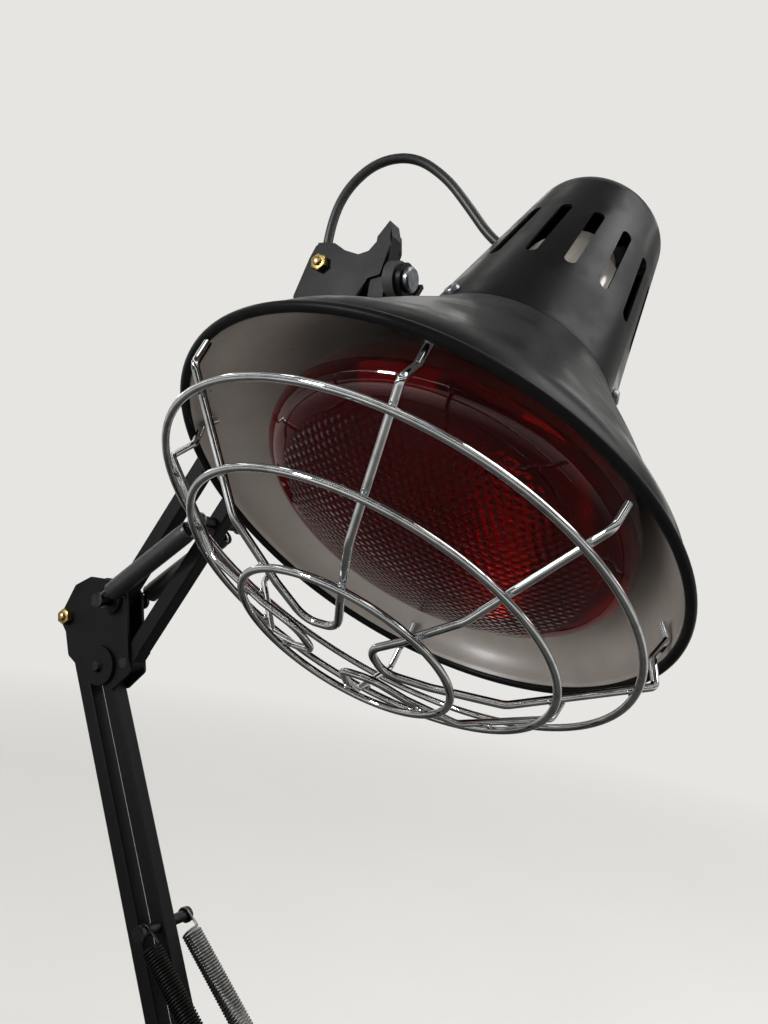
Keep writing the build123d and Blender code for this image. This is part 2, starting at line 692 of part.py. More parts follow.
save(neck_lug, "neck_lug")

NOD_PLANE = Plane(origin=NOD_PIVOT, x_dir=(1, 0, 0), z_dir=NOD_WAY)
STRAP_FAR = LEG_OFFSET + STRAP_T + RUNNING_FIT
with BuildPart() as nod_bolt:
    with BuildSketch(NOD_PLANE.offset(LUG_FAR - SHEET)):
        Circle(BOLT_R)
    extrude(amount=STRAP_FAR - LUG_FAR + SHEET)
    with BuildSketch(NOD_PLANE.offset(LUG_FAR - SHEET - HEAD_T)):
        Circle(HEAD_R)
    extrude(amount=HEAD_T)
    with BuildSketch(NOD_PLANE.offset(STRAP_FAR)):
        RegularPolygon(NUT_FLATS / 2, 6, major_radius=False)
    extrude(amount=NUT_T)
save(nod_bolt, "nod_bolt")


# Slotted cap over the lamp holder
with BuildPart() as slotted_cap:
    with BuildSketch(MERIDIAN):
        with BuildLine():
            Polyline((0, CAP_FOOT), (CAP_BASE_R, CAP_FOOT), (CAP_TOP_R, CAP_TOP), (0, CAP_TOP), close=True)
        make_face()
    revolve(axis=SPIN)
    fillet(slotted_cap.edges().sort_by(SPIN)[-1], CAP_EDGE)
    offset(amount=-SHADE_WALL, openings=slotted_cap.faces().sort_by(SPIN)[0])
    slot_middle = (SLOT_LOW + SLOT_HIGH) / 2
    for count in range(SLOT_COUNT):
        angle = SLOT_FIRST_ANGLE + count * 360 / SLOT_COUNT
        outward = head_point(1, angle, 0) - RIM_CENTRE
        slot_plane = Plane(origin=head_point(10, angle, slot_middle), x_dir=HEAD_AXIS, z_dir=outward)
        with BuildSketch(slot_plane):
            SlotOverall(SLOT_HIGH - SLOT_LOW, SLOT_WIDTH)
        extrude(amount=CAP_BASE_R, mode=Mode.SUBTRACT)
    for angle in SCREW_ANGLES:
        with BuildSketch(cap_plane(angle, SCREW_HEIGHT)):
            Circle(SCREW_R + RUNNING_FIT)
        extrude(amount=-2 * SHADE_WALL, both=True, mode=Mode.SUBTRACT)
    with BuildSketch(cap_plane(CORD_ENTRY_ANGLE, CORD_ENTRY_HEIGHT)):
        Circle(GROMMET_R + RUNNING_FIT)
    extrude(amount=-4 * SHADE_WALL, both=True, mode=Mode.SUBTRACT)
save(slotted_cap, "slotted_cap")

with BuildPart() as cap_screws:
    for angle in SCREW_ANGLES:
        seat = cap_plane(angle, SCREW_HEIGHT).offset(RUNNING_FIT)
        with BuildSketch(seat):
            Circle(SCREW_R)
        extrude(amount=-SCREW_LENGTH)
        with BuildSketch(seat):
            Circle(SCREW_HEAD_R)
        extrude(amount=SCREW_HEAD_T, taper=25)
save(cap_screws, "cap_screws")

# Cord loop from the bracket to the cap, with a grommet at each end
CORD_ENTRY = cap_plane(CORD_ENTRY_ANGLE, CORD_ENTRY_HEIGHT)
SLEEVE_ROOT = CORD_ENTRY.origin + CORD_ENTRY.z_dir * (GROMMET_FLANGE_T / 2)
with BuildPart() as cap_grommet:
    with BuildSketch(CORD_ENTRY.offset(RUNNING_FIT)):
        Circle(GROMMET_R)
    extrude(amount=-GROMMET_DEPTH)
    with BuildSketch(CORD_ENTRY.offset(RUNNING_FIT)):
        Circle(GROMMET_FLANGE_R)
    extrude(amount=GROMMET_FLANGE_T)
    with BuildSketch(Plane(origin=SLEEVE_ROOT, z_dir=CORD_WAY_IN * -1)):
        Circle(GROMMET_R)
    extrude(amount=GROMMET_SLEEVE)
save(cap_grommet, "cap_grommet")

CORD_END = SLEEVE_ROOT - CORD_WAY_IN.normalized() * GROMMET_SLEEVE
CORD_START = Vector(-16.5, 0, 476.5)
with BuildPart() as head_grommet:
    with BuildSketch(Plane.XY.offset(CORD_START.Z - HEAD_GROMMET_T)):
        with Locations((CORD_START.X, 0)):
            RectangleRounded(2 * HEAD_GROMMET_HALF, 2 * PLATE_IN, 1.5)
    extrude(amount=HEAD_GROMMET_T)
save(head_grommet, "head_grommet")

CORD_ROUTE = [
    CORD_START,
    Vector(-16.5, 0, 489.0),
    Vector(-12.2, 2.4, 505.5),
    Vector(-1.5, 7.0, 519.0),
    Vector(13.8, 12.8, 522.9),
    Vector(28.9, 17.8, 514.4),
    Vector(41.3, 20.6, 501.0),
    Vector(51.9, 22.1, 488.6),
    CORD_END - CORD_WAY_IN.normalized() * 10.0,
    CORD_END,
]


def corner_radii(points):
    """The largest arc at each corner that its two runs leave room for."""
    radii = []
    for before, corner, after in zip(points, points[1:], points[2:]):
        run_in = corner - before
        run_out = after - corner
        half_turn = radians(run_in.get_angle(run_out) / 2)
        radii.append(0.45 * min(run_in.length, run_out.length) / tan(half_turn))
    return radii


cord_radii = corner_radii(CORD_ROUTE)
with BuildPart() as head_cord:
    with BuildLine() as route:
        FilletPolyline(CORD_ROUTE, radius=cord_radii)
    with BuildSketch(Plane(origin=route.line @ 0, z_dir=route.line % 0)):
        Circle(CORD_R)
    sweep()
save(head_cord, "head_cord")
cord_runs = [(b - a).length for a, b in zip(CORD_ROUTE, CORD_ROUTE[1:])]
print("cord radii", [round(r, 1) for r in cord_radii], "runs", [round(r, 1) for r in cord_runs])
cord_length = sum(edge.length for edge in route.edges())
cord_solid = pi * CORD_R**2 * cord_length
print("cord volume over section times length", round(head_cord.part.volume / cord_solid, 4))

# Bulb: a lens, a silvered reflector and a screw base. It hangs a little askew in its holder.
BULB_HANGER = head_point(0, 0, HOLDER_TOP)
BULB_AXIS = HEAD_AXIS * cos(radians(BULB_LEAN)) - HEAD_X * sin(radians(BULB_LEAN))
BULB_X = HEAD_X * cos(radians(BULB_LEAN)) + HEAD_AXIS * sin(radians(BULB_LEAN))
BULB_CENTRE = BULB_HANGER - BULB_AXIS * HOLDER_TOP
BULB_MERIDIAN = Plane(origin=BULB_CENTRE, x_dir=BULB_X, z_dir=HEAD_Y * -1)
BULB_SPIN = Axis(BULB_CENTRE, BULB_AXIS)


def bulb_level(height):
    """A plane across the bulb's axis at a height above the rim."""
    return Plane(origin=BULB_CENTRE + BULB_AXIS * height, x_dir=BULB_X, z_dir=BULB_AXIS)


LENS_EDGE = (LENS_R, SEAM_HEIGHT - 1.0)
LENS_INNER_FACE = (LENS_FACE_R - 1.0, LENS_FACE_HEIGHT + LENS_T)
with BuildPart() as bulb_lens:
    with BuildSketch(BULB_MERIDIAN):
        with BuildLine():
            TangentArc((0, APEX), (LENS_FACE_R, LENS_FACE_HEIGHT), tangent=(1, 0))
            TangentArc((LENS_FACE_R, LENS_FACE_HEIGHT), LENS_EDGE, tangent=(1, 0.33))
            Polyline(LENS_EDGE, (LENS_R, SEAM_HEIGHT), (LENS_R - LENS_T, SEAM_HEIGHT), LENS_INNER_FACE)
            TangentArc((0, APEX + LENS_T), LENS_INNER_FACE, tangent=(1, 0))
            Line((0, APEX + LENS_T), (0, APEX))
        make_face()
    revolve(axis=BULB_SPIN)
save(bulb_lens, "bulb_lens")

BOWL = [
    (LENS_R, SEAM_HEIGHT), (61.0, 18.0), (54.0, 31.0), (43.5, 46.0), (32.0, 61.0), (21.0, 76.0),
    (BULB_NECK_R, 87.0),
]
BOWL_INNER = [(LENS_R - REFLECTOR_WALL, SEAM_HEIGHT)] + inset(BOWL, REFLECTOR_WALL)[1:]
with BuildPart() as bulb_reflector:
    with BuildSketch(BULB_MERIDIAN):
        with BuildLine():
            Spline(BOWL)
            Polyline(
                BOWL[-1], (BULB_NECK_R - 2, BULB_NECK_TOP), (0, BULB_NECK_TOP),
                (0, BULB_NECK_TOP - REFLECTOR_WALL), BOWL_INNER[-1],
            )
            Spline(BOWL_INNER)
            Line(BOWL_INNER[0], BOWL[0])
        make_face()
    revolve(axis=BULB_SPIN)
save(bulb_reflector, "bulb_reflector")

with BuildPart() as bulb_base:
    with BuildSketch(BULB_MERIDIAN):
        with BuildLine():
            Polyline(
                (0, BULB_NECK_TOP), (BULB_NECK_R - 2, BULB_NECK_TOP), (SCREW_BASE_R, BULB_NECK_TOP + 3),
                (SCREW_BASE_R, SCREW_BASE_TOP - 4), (5, SCREW_BASE_TOP), (4, SCREW_BASE_TOP + 3),
                (0, SCREW_BASE_TOP + 3), close=True,
            )
        make_face()
    revolve(axis=BULB_SPIN)
save(bulb_base, "bulb_base")

HOLDER_FLOOR = SCREW_BASE_TOP + 3.0
HOLDER_SHOULDER = HOLDER_FLOOR + 9.0
with BuildPart() as lamp_holder:
    with BuildSketch(bulb_level(HOLDER_LOW)):
        Circle(HOLDER_R)
    extrude(amount=HOLDER_SHOULDER - HOLDER_LOW)
    with BuildSketch(bulb_level(HOLDER_LOW)):
        Circle(SCREW_BASE_R + RUNNING_FIT)
    extrude(amount=HOLDER_FLOOR - HOLDER_LOW, mode=Mode.SUBTRACT)
    with BuildSketch(bulb_level(HOLDER_SHOULDER)):
        Circle(HOLDER_R - 6)
    extrude(amount=HOLDER_TOP - HOLDER_SHOULDER)
save(lamp_holder, "lamp_holder")

# Bridge that carries the lamp holder: a strip across the cap from wall to wall
BRIDGE_R = cap_radius(HOLDER_TOP + SHEET) - SHADE_WALL - SEAT_GAP
with BuildPart() as holder_bridge:
    with BuildSketch(bulb_level(HOLDER_TOP)):
        Circle(BRIDGE_R)
        Rectangle(2 * BRIDGE_R, BRIDGE_WIDTH, mode=Mode.INTERSECT)
    extrude(amount=SHEET)
save(holder_bridge, "holder_bridge")

# Guard: three rings and four hairpins, each hairpin two legs of one wire
for size, (ring_r, height) in RING_SIZES.items():
    with BuildPart() as guard_ring:
        with BuildSketch(MERIDIAN):
            with Locations((ring_r, height)):
                Circle(GUARD_WIRE_R)
        revolve(axis=SPIN)
    save(guard_ring, f"guard_ring_{size}")

LEG_TOP = [(84.0, -13.2), (49.0, -38.7), (28.0, -44.3), (14.5, -46.7)]
CLIP_END = [(80.4, -5.2), (82.5, 2.5), (79.2, 6.8)]
PLAIN_END = [(85.1, -5.5)]
HAIRPIN_BENDS = [1.6, 1.6, 1.8, 8.0, 8.0, 7.0, 7.0, 8.0, 8.0, 4.0]


def leg_points(angle, ending):
    """The corners of one leg from its free end to the hairpin's bend."""
    return [head_point(r, angle, h) for r, h in list(reversed(ending)) + LEG_TOP]


for count, place in enumerate(("right", "bottom", "left", "top")):
    clip_angle = FIRST_CLIP_ANGLE + 90 * count
    plain_leg = leg_points(clip_angle - HAIRPIN_SPAN, PLAIN_END)
    corners = leg_points(clip_angle, CLIP_END) + list(reversed(plain_leg))
    with BuildPart() as hairpin:
        with BuildLine() as wire:
            FilletPolyline(corners, radius=HAIRPIN_BENDS)
        with BuildSketch(Plane(origin=wire.line @ 0, z_dir=wire.line % 0)):
            Circle(GUARD_WIRE_R)
        sweep()
    save(hairpin, f"guard_hairpin_{place}")

# Base: a rubber pad, an iron weight with two cord channels in its underside, and a steel cover
SWITCH_OUT = Vector(cos(radians(SWITCH_ANGLE)), sin(radians(SWITCH_ANGLE)), 0)
COVER_SLOPE = atan2(CONE_TOP - BASE_EDGE_TOP, BASE_R - CONE_TOP_R)
SWITCH_HEIGHT = BASE_EDGE_TOP + (BASE_R - SWITCH_AT_R) * tan(COVER_SLOPE)
SWITCH_AT = SWITCH_OUT * SWITCH_AT_R + Vector(0, 0, SWITCH_HEIGHT)
SWITCH_FACING = SWITCH_OUT * sin(COVER_SLOPE) + Vector(0, 0, cos(COVER_SLOPE))
SWITCH_DOWNHILL = SWITCH_OUT * cos(COVER_SLOPE) - Vector(0, 0, sin(COVER_SLOPE))
SWITCH_PLANE = Plane(origin=SWITCH_AT, x_dir=SWITCH_DOWNHILL, z_dir=SWITCH_FACING)
GLAND_OUT = Vector(cos(radians(GLAND_ANGLE)), sin(radians(GLAND_ANGLE)), 0)
GLAND_PLANE = Plane(origin=GLAND_OUT * BASE_R + Vector(0, 0, GLAND_HEIGHT), z_dir=GLAND_OUT)
FOOT_Z = BOSS_TOP + BUSH_FLANGE_T + SEAT_GAP + POST_FLANGE_T

with BuildPart() as base_pad:
    with BuildSketch():
        Circle(BASE_R - PAD_INSET)
    extrude(amount=PAD_T)
save(base_pad, "base_pad")

WEIGHT_R = BASE_R - BASE_WALL - WEIGHT_GAP
WEIGHT_EDGE_TOP = BASE_EDGE_TOP - BASE_WALL - BASE_BEND
WEIGHT_TOP = WEIGHT_EDGE_TOP + (WEIGHT_R - WEIGHT_FLAT_R) * tan(COVER_SLOPE)
with BuildPart() as base_weight:
    with BuildSketch(Plane.XZ):
        with BuildLine():
            Polyline(
                (BUSH_R + RUNNING_FIT, PAD_T), (WEIGHT_R, PAD_T), (WEIGHT_R, WEIGHT_EDGE_TOP),
                (WEIGHT_FLAT_R, WEIGHT_TOP), (BUSH_R + RUNNING_FIT, WEIGHT_TOP), close=True,
            )
        make_face()
    revolve(axis=Axis.Z)
    with BuildSketch(SWITCH_PLANE):
        Rectangle(SWITCH_LENGTH + 2 * SWITCH_RIM, SWITCH_WIDTH + 2 * SWITCH_RIM)
    extrude(amount=-SWITCH_DEPTH - SWITCH_RIM, mode=Mode.SUBTRACT)
    for angle, reach in ((GLAND_ANGLE, BASE_R), (SWITCH_ANGLE, SWITCH_AT_R)):
        with BuildSketch(Plane.XY.offset(PAD_T)):
            with Locations(Rot(0, 0, angle)):
                Rectangle(reach, CHANNEL_WIDTH, align=(Align.MIN, Align.CENTER))
        extrude(amount=CHANNEL_DEPTH, mode=Mode.SUBTRACT)
save(base_weight, "base_weight")

with BuildPart() as base_cover:
    with BuildSketch(Plane.XZ):
        with BuildLine():
            Polyline(
                (0, PAD_T), (BASE_R, PAD_T), (BASE_R, BASE_EDGE_TOP), (CONE_TOP_R, CONE_TOP),
                (BOSS_R, BOSS_TOP), (0, BOSS_TOP), close=True,
            )
        make_face()
    revolve(axis=Axis.Z)
    fillet(base_cover.edges().filter_by(GeomType.CIRCLE).sort_by(Axis.Z)[1:], BASE_BEND)
    offset(amount=-BASE_WALL, openings=base_cover.faces().sort_by(Axis.Z)[0])
    with BuildSketch(Plane.XY.offset(BOSS_TOP)):
        Circle(BUSH_R + RUNNING_FIT)
    extrude(amount=-2 * BASE_WALL, mode=Mode.SUBTRACT)
    with BuildSketch(SWITCH_PLANE):
        Rectangle(SWITCH_LENGTH + 2 * RUNNING_FIT, SWITCH_WIDTH + 2 * RUNNING_FIT)
    extrude(amount=-2 * BASE_WALL, both=True, mode=Mode.SUBTRACT)
    with BuildSketch(GLAND_PLANE):
        Circle(GLAND_R + RUNNING_FIT)
    extrude(amount=-2 * BASE_WALL, both=True, mode=Mode.SUBTRACT)
save(base_cover, "base_cover")

with BuildPart() as pan_bush:
    with BuildSketch(Plane.XY.offset(BUSH_FOOT)):
        Circle(BUSH_R)
    extrude(amount=BOSS_TOP - BUSH_FOOT)
    with BuildSketch(Plane.XY.offset(BOSS_TOP)):
        Circle(BUSH_FLANGE_R)
    extrude(amount=BUSH_FLANGE_T)
    with BuildSketch(Plane.XY.offset(BUSH_FOOT)):
        Circle(POST_R + RUNNING_FIT)
    extrude(amount=BOSS_TOP + BUSH_FLANGE_T - BUSH_FOOT, mode=Mode.SUBTRACT)
save(pan_bush, "pan_bush")

# Cord gland in the base's edge: a rubber bushing with an open bore
with BuildPart() as base_gland:
    with BuildSketch(GLAND_PLANE):
        Circle(GLAND_R)
    extrude(amount=-BASE_WALL)
    with BuildSketch(GLAND_PLANE):
        Circle(GLAND_R + 2)
    extrude(amount=GLAND_R)
    with BuildSketch(GLAND_PLANE.offset(-BASE_WALL)):
        Circle(CORD_R + RUNNING_FIT)
    extrude(amount=GLAND_R + BASE_WALL, mode=Mode.SUBTRACT)
save(base_gland, "base_gland")

# Switch: a housing in the cover and a rocker on its own pin, drawn in the off position
POCKET_LENGTH = SWITCH_LENGTH - 3.4
POCKET_WIDTH = SWITCH_WIDTH - 2.4
POCKET_DEPTH = SWITCH_DEPTH - 2.0
ROCKER_PIN_R = 1.2
ROCKER_PIN_DEPTH = 2.5
ROCKER_TOP = 2.2
ROCKER_HALF = POCKET_LENGTH / 2 - 1.1
ROCKER_HALF_WIDTH = POCKET_WIDTH / 2 - SEAT_GAP
with BuildPart() as switch_housing:
    with BuildSketch(SWITCH_PLANE.offset(RUNNING_FIT)):
        RectangleRounded(SWITCH_LENGTH + 2 * SWITCH_RIM, SWITCH_WIDTH + 2 * SWITCH_RIM, SWITCH_RIM)
    extrude(amount=SWITCH_RIM_T)
    with BuildSketch(SWITCH_PLANE.offset(RUNNING_FIT)):
        Rectangle(SWITCH_LENGTH, SWITCH_WIDTH)
    extrude(amount=-SWITCH_DEPTH)
    with BuildSketch(SWITCH_PLANE.offset(RUNNING_FIT + SWITCH_RIM_T)):
        Rectangle(POCKET_LENGTH, POCKET_WIDTH)
    extrude(amount=-POCKET_DEPTH - SWITCH_RIM_T, mode=Mode.SUBTRACT)
    pin_plane = Plane(
        origin=SWITCH_PLANE.from_local_coords((0, 0, -ROCKER_PIN_DEPTH)),
        x_dir=SWITCH_PLANE.x_dir, z_dir=SWITCH_PLANE.y_dir,
    )
    with BuildSketch(pin_plane):
        Circle(ROCKER_PIN_R + RUNNING_FIT)
    extrude(amount=SWITCH_WIDTH / 2 - SEAT_GAP, both=True, mode=Mode.SUBTRACT)
save(switch_housing, "switch_housing")

HALF_THROW = radians(ROCKER_THROW / 2)
ROCKER_PLANE = Plane(
    origin=pin_plane.origin, z_dir=pin_plane.z_dir,
    x_dir=pin_plane.x_dir * cos(HALF_THROW) + pin_plane.y_dir * sin(HALF_THROW),
)
with BuildPart() as switch_rocker:
    with BuildSketch(ROCKER_PLANE):
        with BuildLine():
            centre_top = ROCKER_TOP + ROCKER_PIN_DEPTH
            end_top = centre_top + ROCKER_HALF * tan(HALF_THROW)
            Polyline(
                (-ROCKER_HALF, ROCKER_PIN_R), (-ROCKER_HALF, -end_top), (0, -centre_top),
                (ROCKER_HALF, -end_top), (ROCKER_HALF, ROCKER_PIN_R), (0, 2 * ROCKER_PIN_R), close=True,
            )
        make_face()
    extrude(amount=ROCKER_HALF_WIDTH, both=True)
    with BuildSketch(ROCKER_PLANE):
        Circle(ROCKER_PIN_R)
    extrude(amount=SWITCH_WIDTH / 2 - 2 * SEAT_GAP, both=True)
save(switch_rocker, "switch_rocker")
print("rocker pin", pin_plane.origin, "along", pin_plane.z_dir)

# Swivel post in the bush, and the bracket that it carries
with BuildPart() as swivel_post:
    with BuildSketch(Plane.XY.offset(BUSH_FOOT - SEAT_GAP)):
        Circle(POST_R)
    extrude(amount=FOOT_Z - BUSH_FOOT + SEAT_GAP)
    with BuildSketch(Plane.XY.offset(BUSH_FOOT - SEAT_GAP)):
        Circle(POST_CLIP_R)
    extrude(amount=-POST_CLIP_T)
    with BuildSketch(Plane.XY.offset(FOOT_Z)):
        Circle(POST_FLANGE_R)
    extrude(amount=-POST_FLANGE_T)
    with BuildSketch(Plane.XY.offset(FOOT_Z)):
        Circle(BOLT_R)
    extrude(amount=SHEET)
    with BuildSketch(Plane.XY.offset(FOOT_Z + SHEET)):
        Circle(PLATE_IN - SEAT_GAP)
    extrude(amount=HEAD_T)
save(swivel_post, "swivel_post")

EAR_OUTLINE = [(-14, FOOT_Z), (14, FOOT_Z)] + [
    (FRONT_LOWER_FOOT.X + x, FRONT_LOWER_FOOT.Z + z)
    for x, z in ((8, -8), (36, 18), (36, 30), (26, 32), (2, 11), (-26, 27), (-35, 23), (-35, 12))
]
with BuildPart() as base_bracket:
    for low_y in (-PLATE_OUT, PLATE_IN):
        with BuildSketch(across(low_y)) as face:
            with BuildLine():
                Polyline(EAR_OUTLINE, close=True)
            make_face()
            fillet(face.vertices().sort_by(Axis.Z)[2:], 3)
            with Locations([(p.X, p.Z) for p in (REAR_LOWER_FOOT, FRONT_LOWER_FOOT, ANCHOR)]):
                Circle(BORE_R, mode=Mode.SUBTRACT)
        extrude(amount=-SHEET)
    with BuildSketch(Plane.XY.offset(FOOT_Z)):
        RectangleRounded(BRACKET_FOOT_X, BRACKET_FOOT_Y, 3)
        Circle(BORE_R, mode=Mode.SUBTRACT)
    extrude(amount=SHEET)
save(base_bracket, "base_bracket")

with BuildPart() as base_bolts:
    disc([REAR_LOWER_FOOT, FRONT_LOWER_FOOT], BOLT_R, -PLATE_OUT, PLATE_OUT)
    for side in (-1, 1):
        dome_heads([REAR_LOWER_FOOT, FRONT_LOWER_FOOT], side * PLATE_OUT, side)
save(base_bolts, "base_bolts")
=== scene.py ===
# %% [markdown]
# # A red heat lamp on a spring-balanced swing arm
# The measured solids come in as a fixed frame, in metres, and every piece made here sits in that frame.
# A solid whose form is right keeps its mesh and gets a finish. Springs, sleeves, the shade, the bulb, the
# screws, the brass nuts and the cord are made again here, because they need a rounder or fuller form than a
# solid has.

# %% Load the frame
from collections import namedtuple
from math import cos, pi, radians, sin

import bmesh
import bpy
from mathutils import Matrix, Vector
from mathutils.geometry import interpolate_bezier, intersect_point_line


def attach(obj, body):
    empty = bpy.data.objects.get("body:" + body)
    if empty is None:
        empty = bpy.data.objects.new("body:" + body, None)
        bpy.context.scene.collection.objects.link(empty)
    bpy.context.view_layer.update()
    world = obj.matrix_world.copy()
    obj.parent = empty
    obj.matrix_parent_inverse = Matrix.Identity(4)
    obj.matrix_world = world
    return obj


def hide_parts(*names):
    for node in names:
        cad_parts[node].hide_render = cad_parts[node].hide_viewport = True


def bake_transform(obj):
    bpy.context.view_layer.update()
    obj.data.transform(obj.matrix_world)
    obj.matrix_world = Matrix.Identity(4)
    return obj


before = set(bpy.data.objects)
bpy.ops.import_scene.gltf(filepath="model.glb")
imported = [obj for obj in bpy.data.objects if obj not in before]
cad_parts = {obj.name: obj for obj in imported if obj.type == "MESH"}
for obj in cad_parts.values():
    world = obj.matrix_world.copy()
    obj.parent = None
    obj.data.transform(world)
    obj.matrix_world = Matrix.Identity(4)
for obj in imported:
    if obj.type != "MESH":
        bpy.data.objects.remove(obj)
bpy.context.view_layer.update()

MM = 0.001
print("solids come with", len(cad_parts), "nodes")

# %% [markdown]
# ## The camera
# The camera stands below the shade and to its right, a little nearer than an arm's length, and looks
# almost level. Its place and turn were fitted to the rim, the guard's rings and the bars. Written as three
# directions, the turn needs no angles that can be read in the wrong order.

# %% Camera
CAMERA_AT = Vector((0.2095, -0.3139, 0.3426))
CAMERA_RIGHT = Vector((0.8665, 0.4713, 0.1649))
CAMERA_UP = Vector((-0.1214, -0.1214, 0.9851))
PICTURE_HEIGHT = 1024
FOCAL_PIXELS = 855
right = CAMERA_RIGHT.normalized()
back = right.cross(CAMERA_UP).normalized()
up = back.cross(right)
lens = bpy.data.cameras.new("viewpoint")
lens.sensor_fit = "VERTICAL"
lens.sensor_height = 36
lens.lens = lens.sensor_height * FOCAL_PIXELS / PICTURE_HEIGHT
lens.clip_start = 0.01
camera = bpy.data.objects.new("viewpoint", lens)
bpy.context.collection.objects.link(camera)
camera.matrix_world = Matrix.Translation(CAMERA_AT) @ Matrix((right, up, back)).transposed().to_4x4()
bpy.context.scene.camera = camera
print("lens", round(lens.lens, 2), "mm")

# %% [markdown]
# ## The lamp head's own frame
# Nearly everything on the head is round about one axis, which is tilted and nodded from the vertical.
# Pieces are made upright at the origin, where their sizes are easy to read, and one matrix then places them.
# The bulb hangs slightly askew in its holder, so it has a matrix of its own.

# %% Places of the head and the bulb
TILT = radians(34.0)
NOD = radians(5.3)
BULB_LEAN = radians(2.4)
RIM_CENTRE = Vector((87.7, -73.0, 351.5)) * MM
HOLDER_TOP = 143.0 * MM
plumb = Vector((0, sin(TILT), cos(TILT)))
head_axis = plumb * cos(NOD) + Vector((1, 0, 0)) * sin(NOD)
head_x = Vector((1, 0, 0)) * cos(NOD) - plumb * sin(NOD)


def placed(origin, x_way, z_way):
    """The matrix that takes a piece made upright to its place."""
    turn = Matrix((x_way, z_way.cross(x_way), z_way)).transposed()
    return Matrix.Translation(origin) @ turn.to_4x4()


HEAD = placed(RIM_CENTRE, head_x, head_axis)
bulb_axis = head_axis * cos(BULB_LEAN) - head_x * sin(BULB_LEAN)
bulb_x = head_x * cos(BULB_LEAN) + head_axis * sin(BULB_LEAN)
bulb_centre = RIM_CENTRE + (head_axis - bulb_axis) * HOLDER_TOP
BULB = placed(bulb_centre, bulb_x, bulb_axis)
print("head axis", [round(c, 4) for c in head_axis], "bulb centre", [round(c, 4) for c in bulb_centre])

# %% [markdown]
# ## Helpers for finishes
# Each finish is a small tree of shader nodes. Colours are written as the hex values that a screen shows, and
# one function turns them into the linear values that shaders add up. Another adds a node with its settings
# and links in one line, so a tree reads from top to bottom like a recipe.


# %% Colour and node helpers
def linear(code):
    """A hex colour such as #1a2b3c as linear red, green, blue and full opacity."""
    parts = [int(code[i:i + 2], 16) / 255 for i in (1, 3, 5)]
    return [c / 12.92 if c <= 0.04045 else ((c + 0.055) / 1.055) ** 2.4 for c in parts] + [1.0]


def add(tree, kind, inputs=None, **settings):
    """Adds a node, sets it, and fills each input with a value or a link."""
    node = tree.nodes.new(kind)
    for name, value in settings.items():
        setattr(node, name, value)
    for name, value in (inputs or {}).items():
        if isinstance(value, bpy.types.NodeSocket):
            tree.links.new(value, node.inputs[name])
        else:
            node.inputs[name].default_value = value
    return node


print("black paint is", [round(c, 4) for c in linear("#0e0e0f")[:3]])

# %% [markdown]
# Most surfaces of a lamp vary in three ways: the colour drifts, the shine drifts, and the skin is never quite
# flat. Painting that by hand would tie it to one view, so soft noise leads all three, with a real size for
# its blobs. Each of these functions lays one such layer on a finish, from two or three nodes.

# %% Layers of a finish
Finish = namedtuple("Finish", "material tree shader point")


def start_finish(name, **sockets):
    """A new material, its tree, its shader with constants on its sockets, and a point on the piece."""
    material = bpy.data.materials.new(name)
    material.use_nodes = True
    tree = material.node_tree
    shader = tree.nodes["Principled BSDF"]
    for socket, value in sockets.items():
        shader.inputs[socket.replace("_", " ")].default_value = value
    point = add(tree, "ShaderNodeTexCoord").outputs["Object"]
    return Finish(material, tree, shader, point)


def blobs(size, detail, crispness=0.5):
    """Settings of soft noise whose blobs are about the given size across, in millimetres."""
    return {"Scale": 1 / (size * MM), "Detail": detail, "Roughness": crispness}


def lay_tint(finish, grain, levels, first, second):
    """The colour goes from one hex colour to another as the noise goes from one level to another."""
    noise = add(finish.tree, "ShaderNodeTexNoise", {"Vector": finish.point, **grain})
    stretch = {"Value": noise.outputs["Fac"], 1: levels[0], 2: levels[1]}
    share = add(finish.tree, "ShaderNodeMapRange", stretch).outputs[0]
    colours = {0: share, 6: linear(first), 7: linear(second)}
    tint = add(finish.tree, "ShaderNodeMix", colours, data_type="RGBA").outputs[2]
    finish.tree.links.new(tint, finish.shader.inputs["Base Color"])
    return tint


def lay_shine(finish, grain, levels, roughness):
    """The roughness goes from one value to another as the noise goes from one level to another."""
    noise = add(finish.tree, "ShaderNodeTexNoise", {"Vector": finish.point, **grain})
    stretch = {"Value": noise.outputs["Fac"], 1: levels[0], 2: levels[1], 3: roughness[0], 4: roughness[1]}
    shine = add(finish.tree, "ShaderNodeMapRange", stretch).outputs[0]
    finish.tree.links.new(shine, finish.shader.inputs["Roughness"])


def lay_skin(finish, grain, depth, strength, point=None):
    """The surface rises with the noise, by up to a depth in millimetres."""
    where = finish.point if point is None else point
    noise = add(finish.tree, "ShaderNodeTexNoise", {"Vector": where, **grain})
    bumps = {"Height": noise.outputs["Fac"], "Distance": depth * MM, "Strength": strength}
    skin = add(finish.tree, "ShaderNodeBump", bumps).outputs["Normal"]
    finish.tree.links.new(skin, finish.shader.inputs["Normal"])


def dress(material, *names):
    """Gives a finish to solids of the frame, by name."""
    for name in names:
        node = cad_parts[name]
        if not node.material_slots:
            node.data.materials.append(material)
        for slot in node.material_slots:
            slot.material = material


print("a blob of 2 mm has the scale", blobs(2, 0)["Scale"])

# %% [markdown]
# ## Paint of the arm
# The tubes, plates and bracket are steel under a satin black powder coat. Powder melts into a skin with a
# fine orange peel, about a millimetre from crest to crest, which breaks up every highlight. Handling
# polishes it in patches, so the roughness drifts over a few centimetres, and dust greys it slightly.

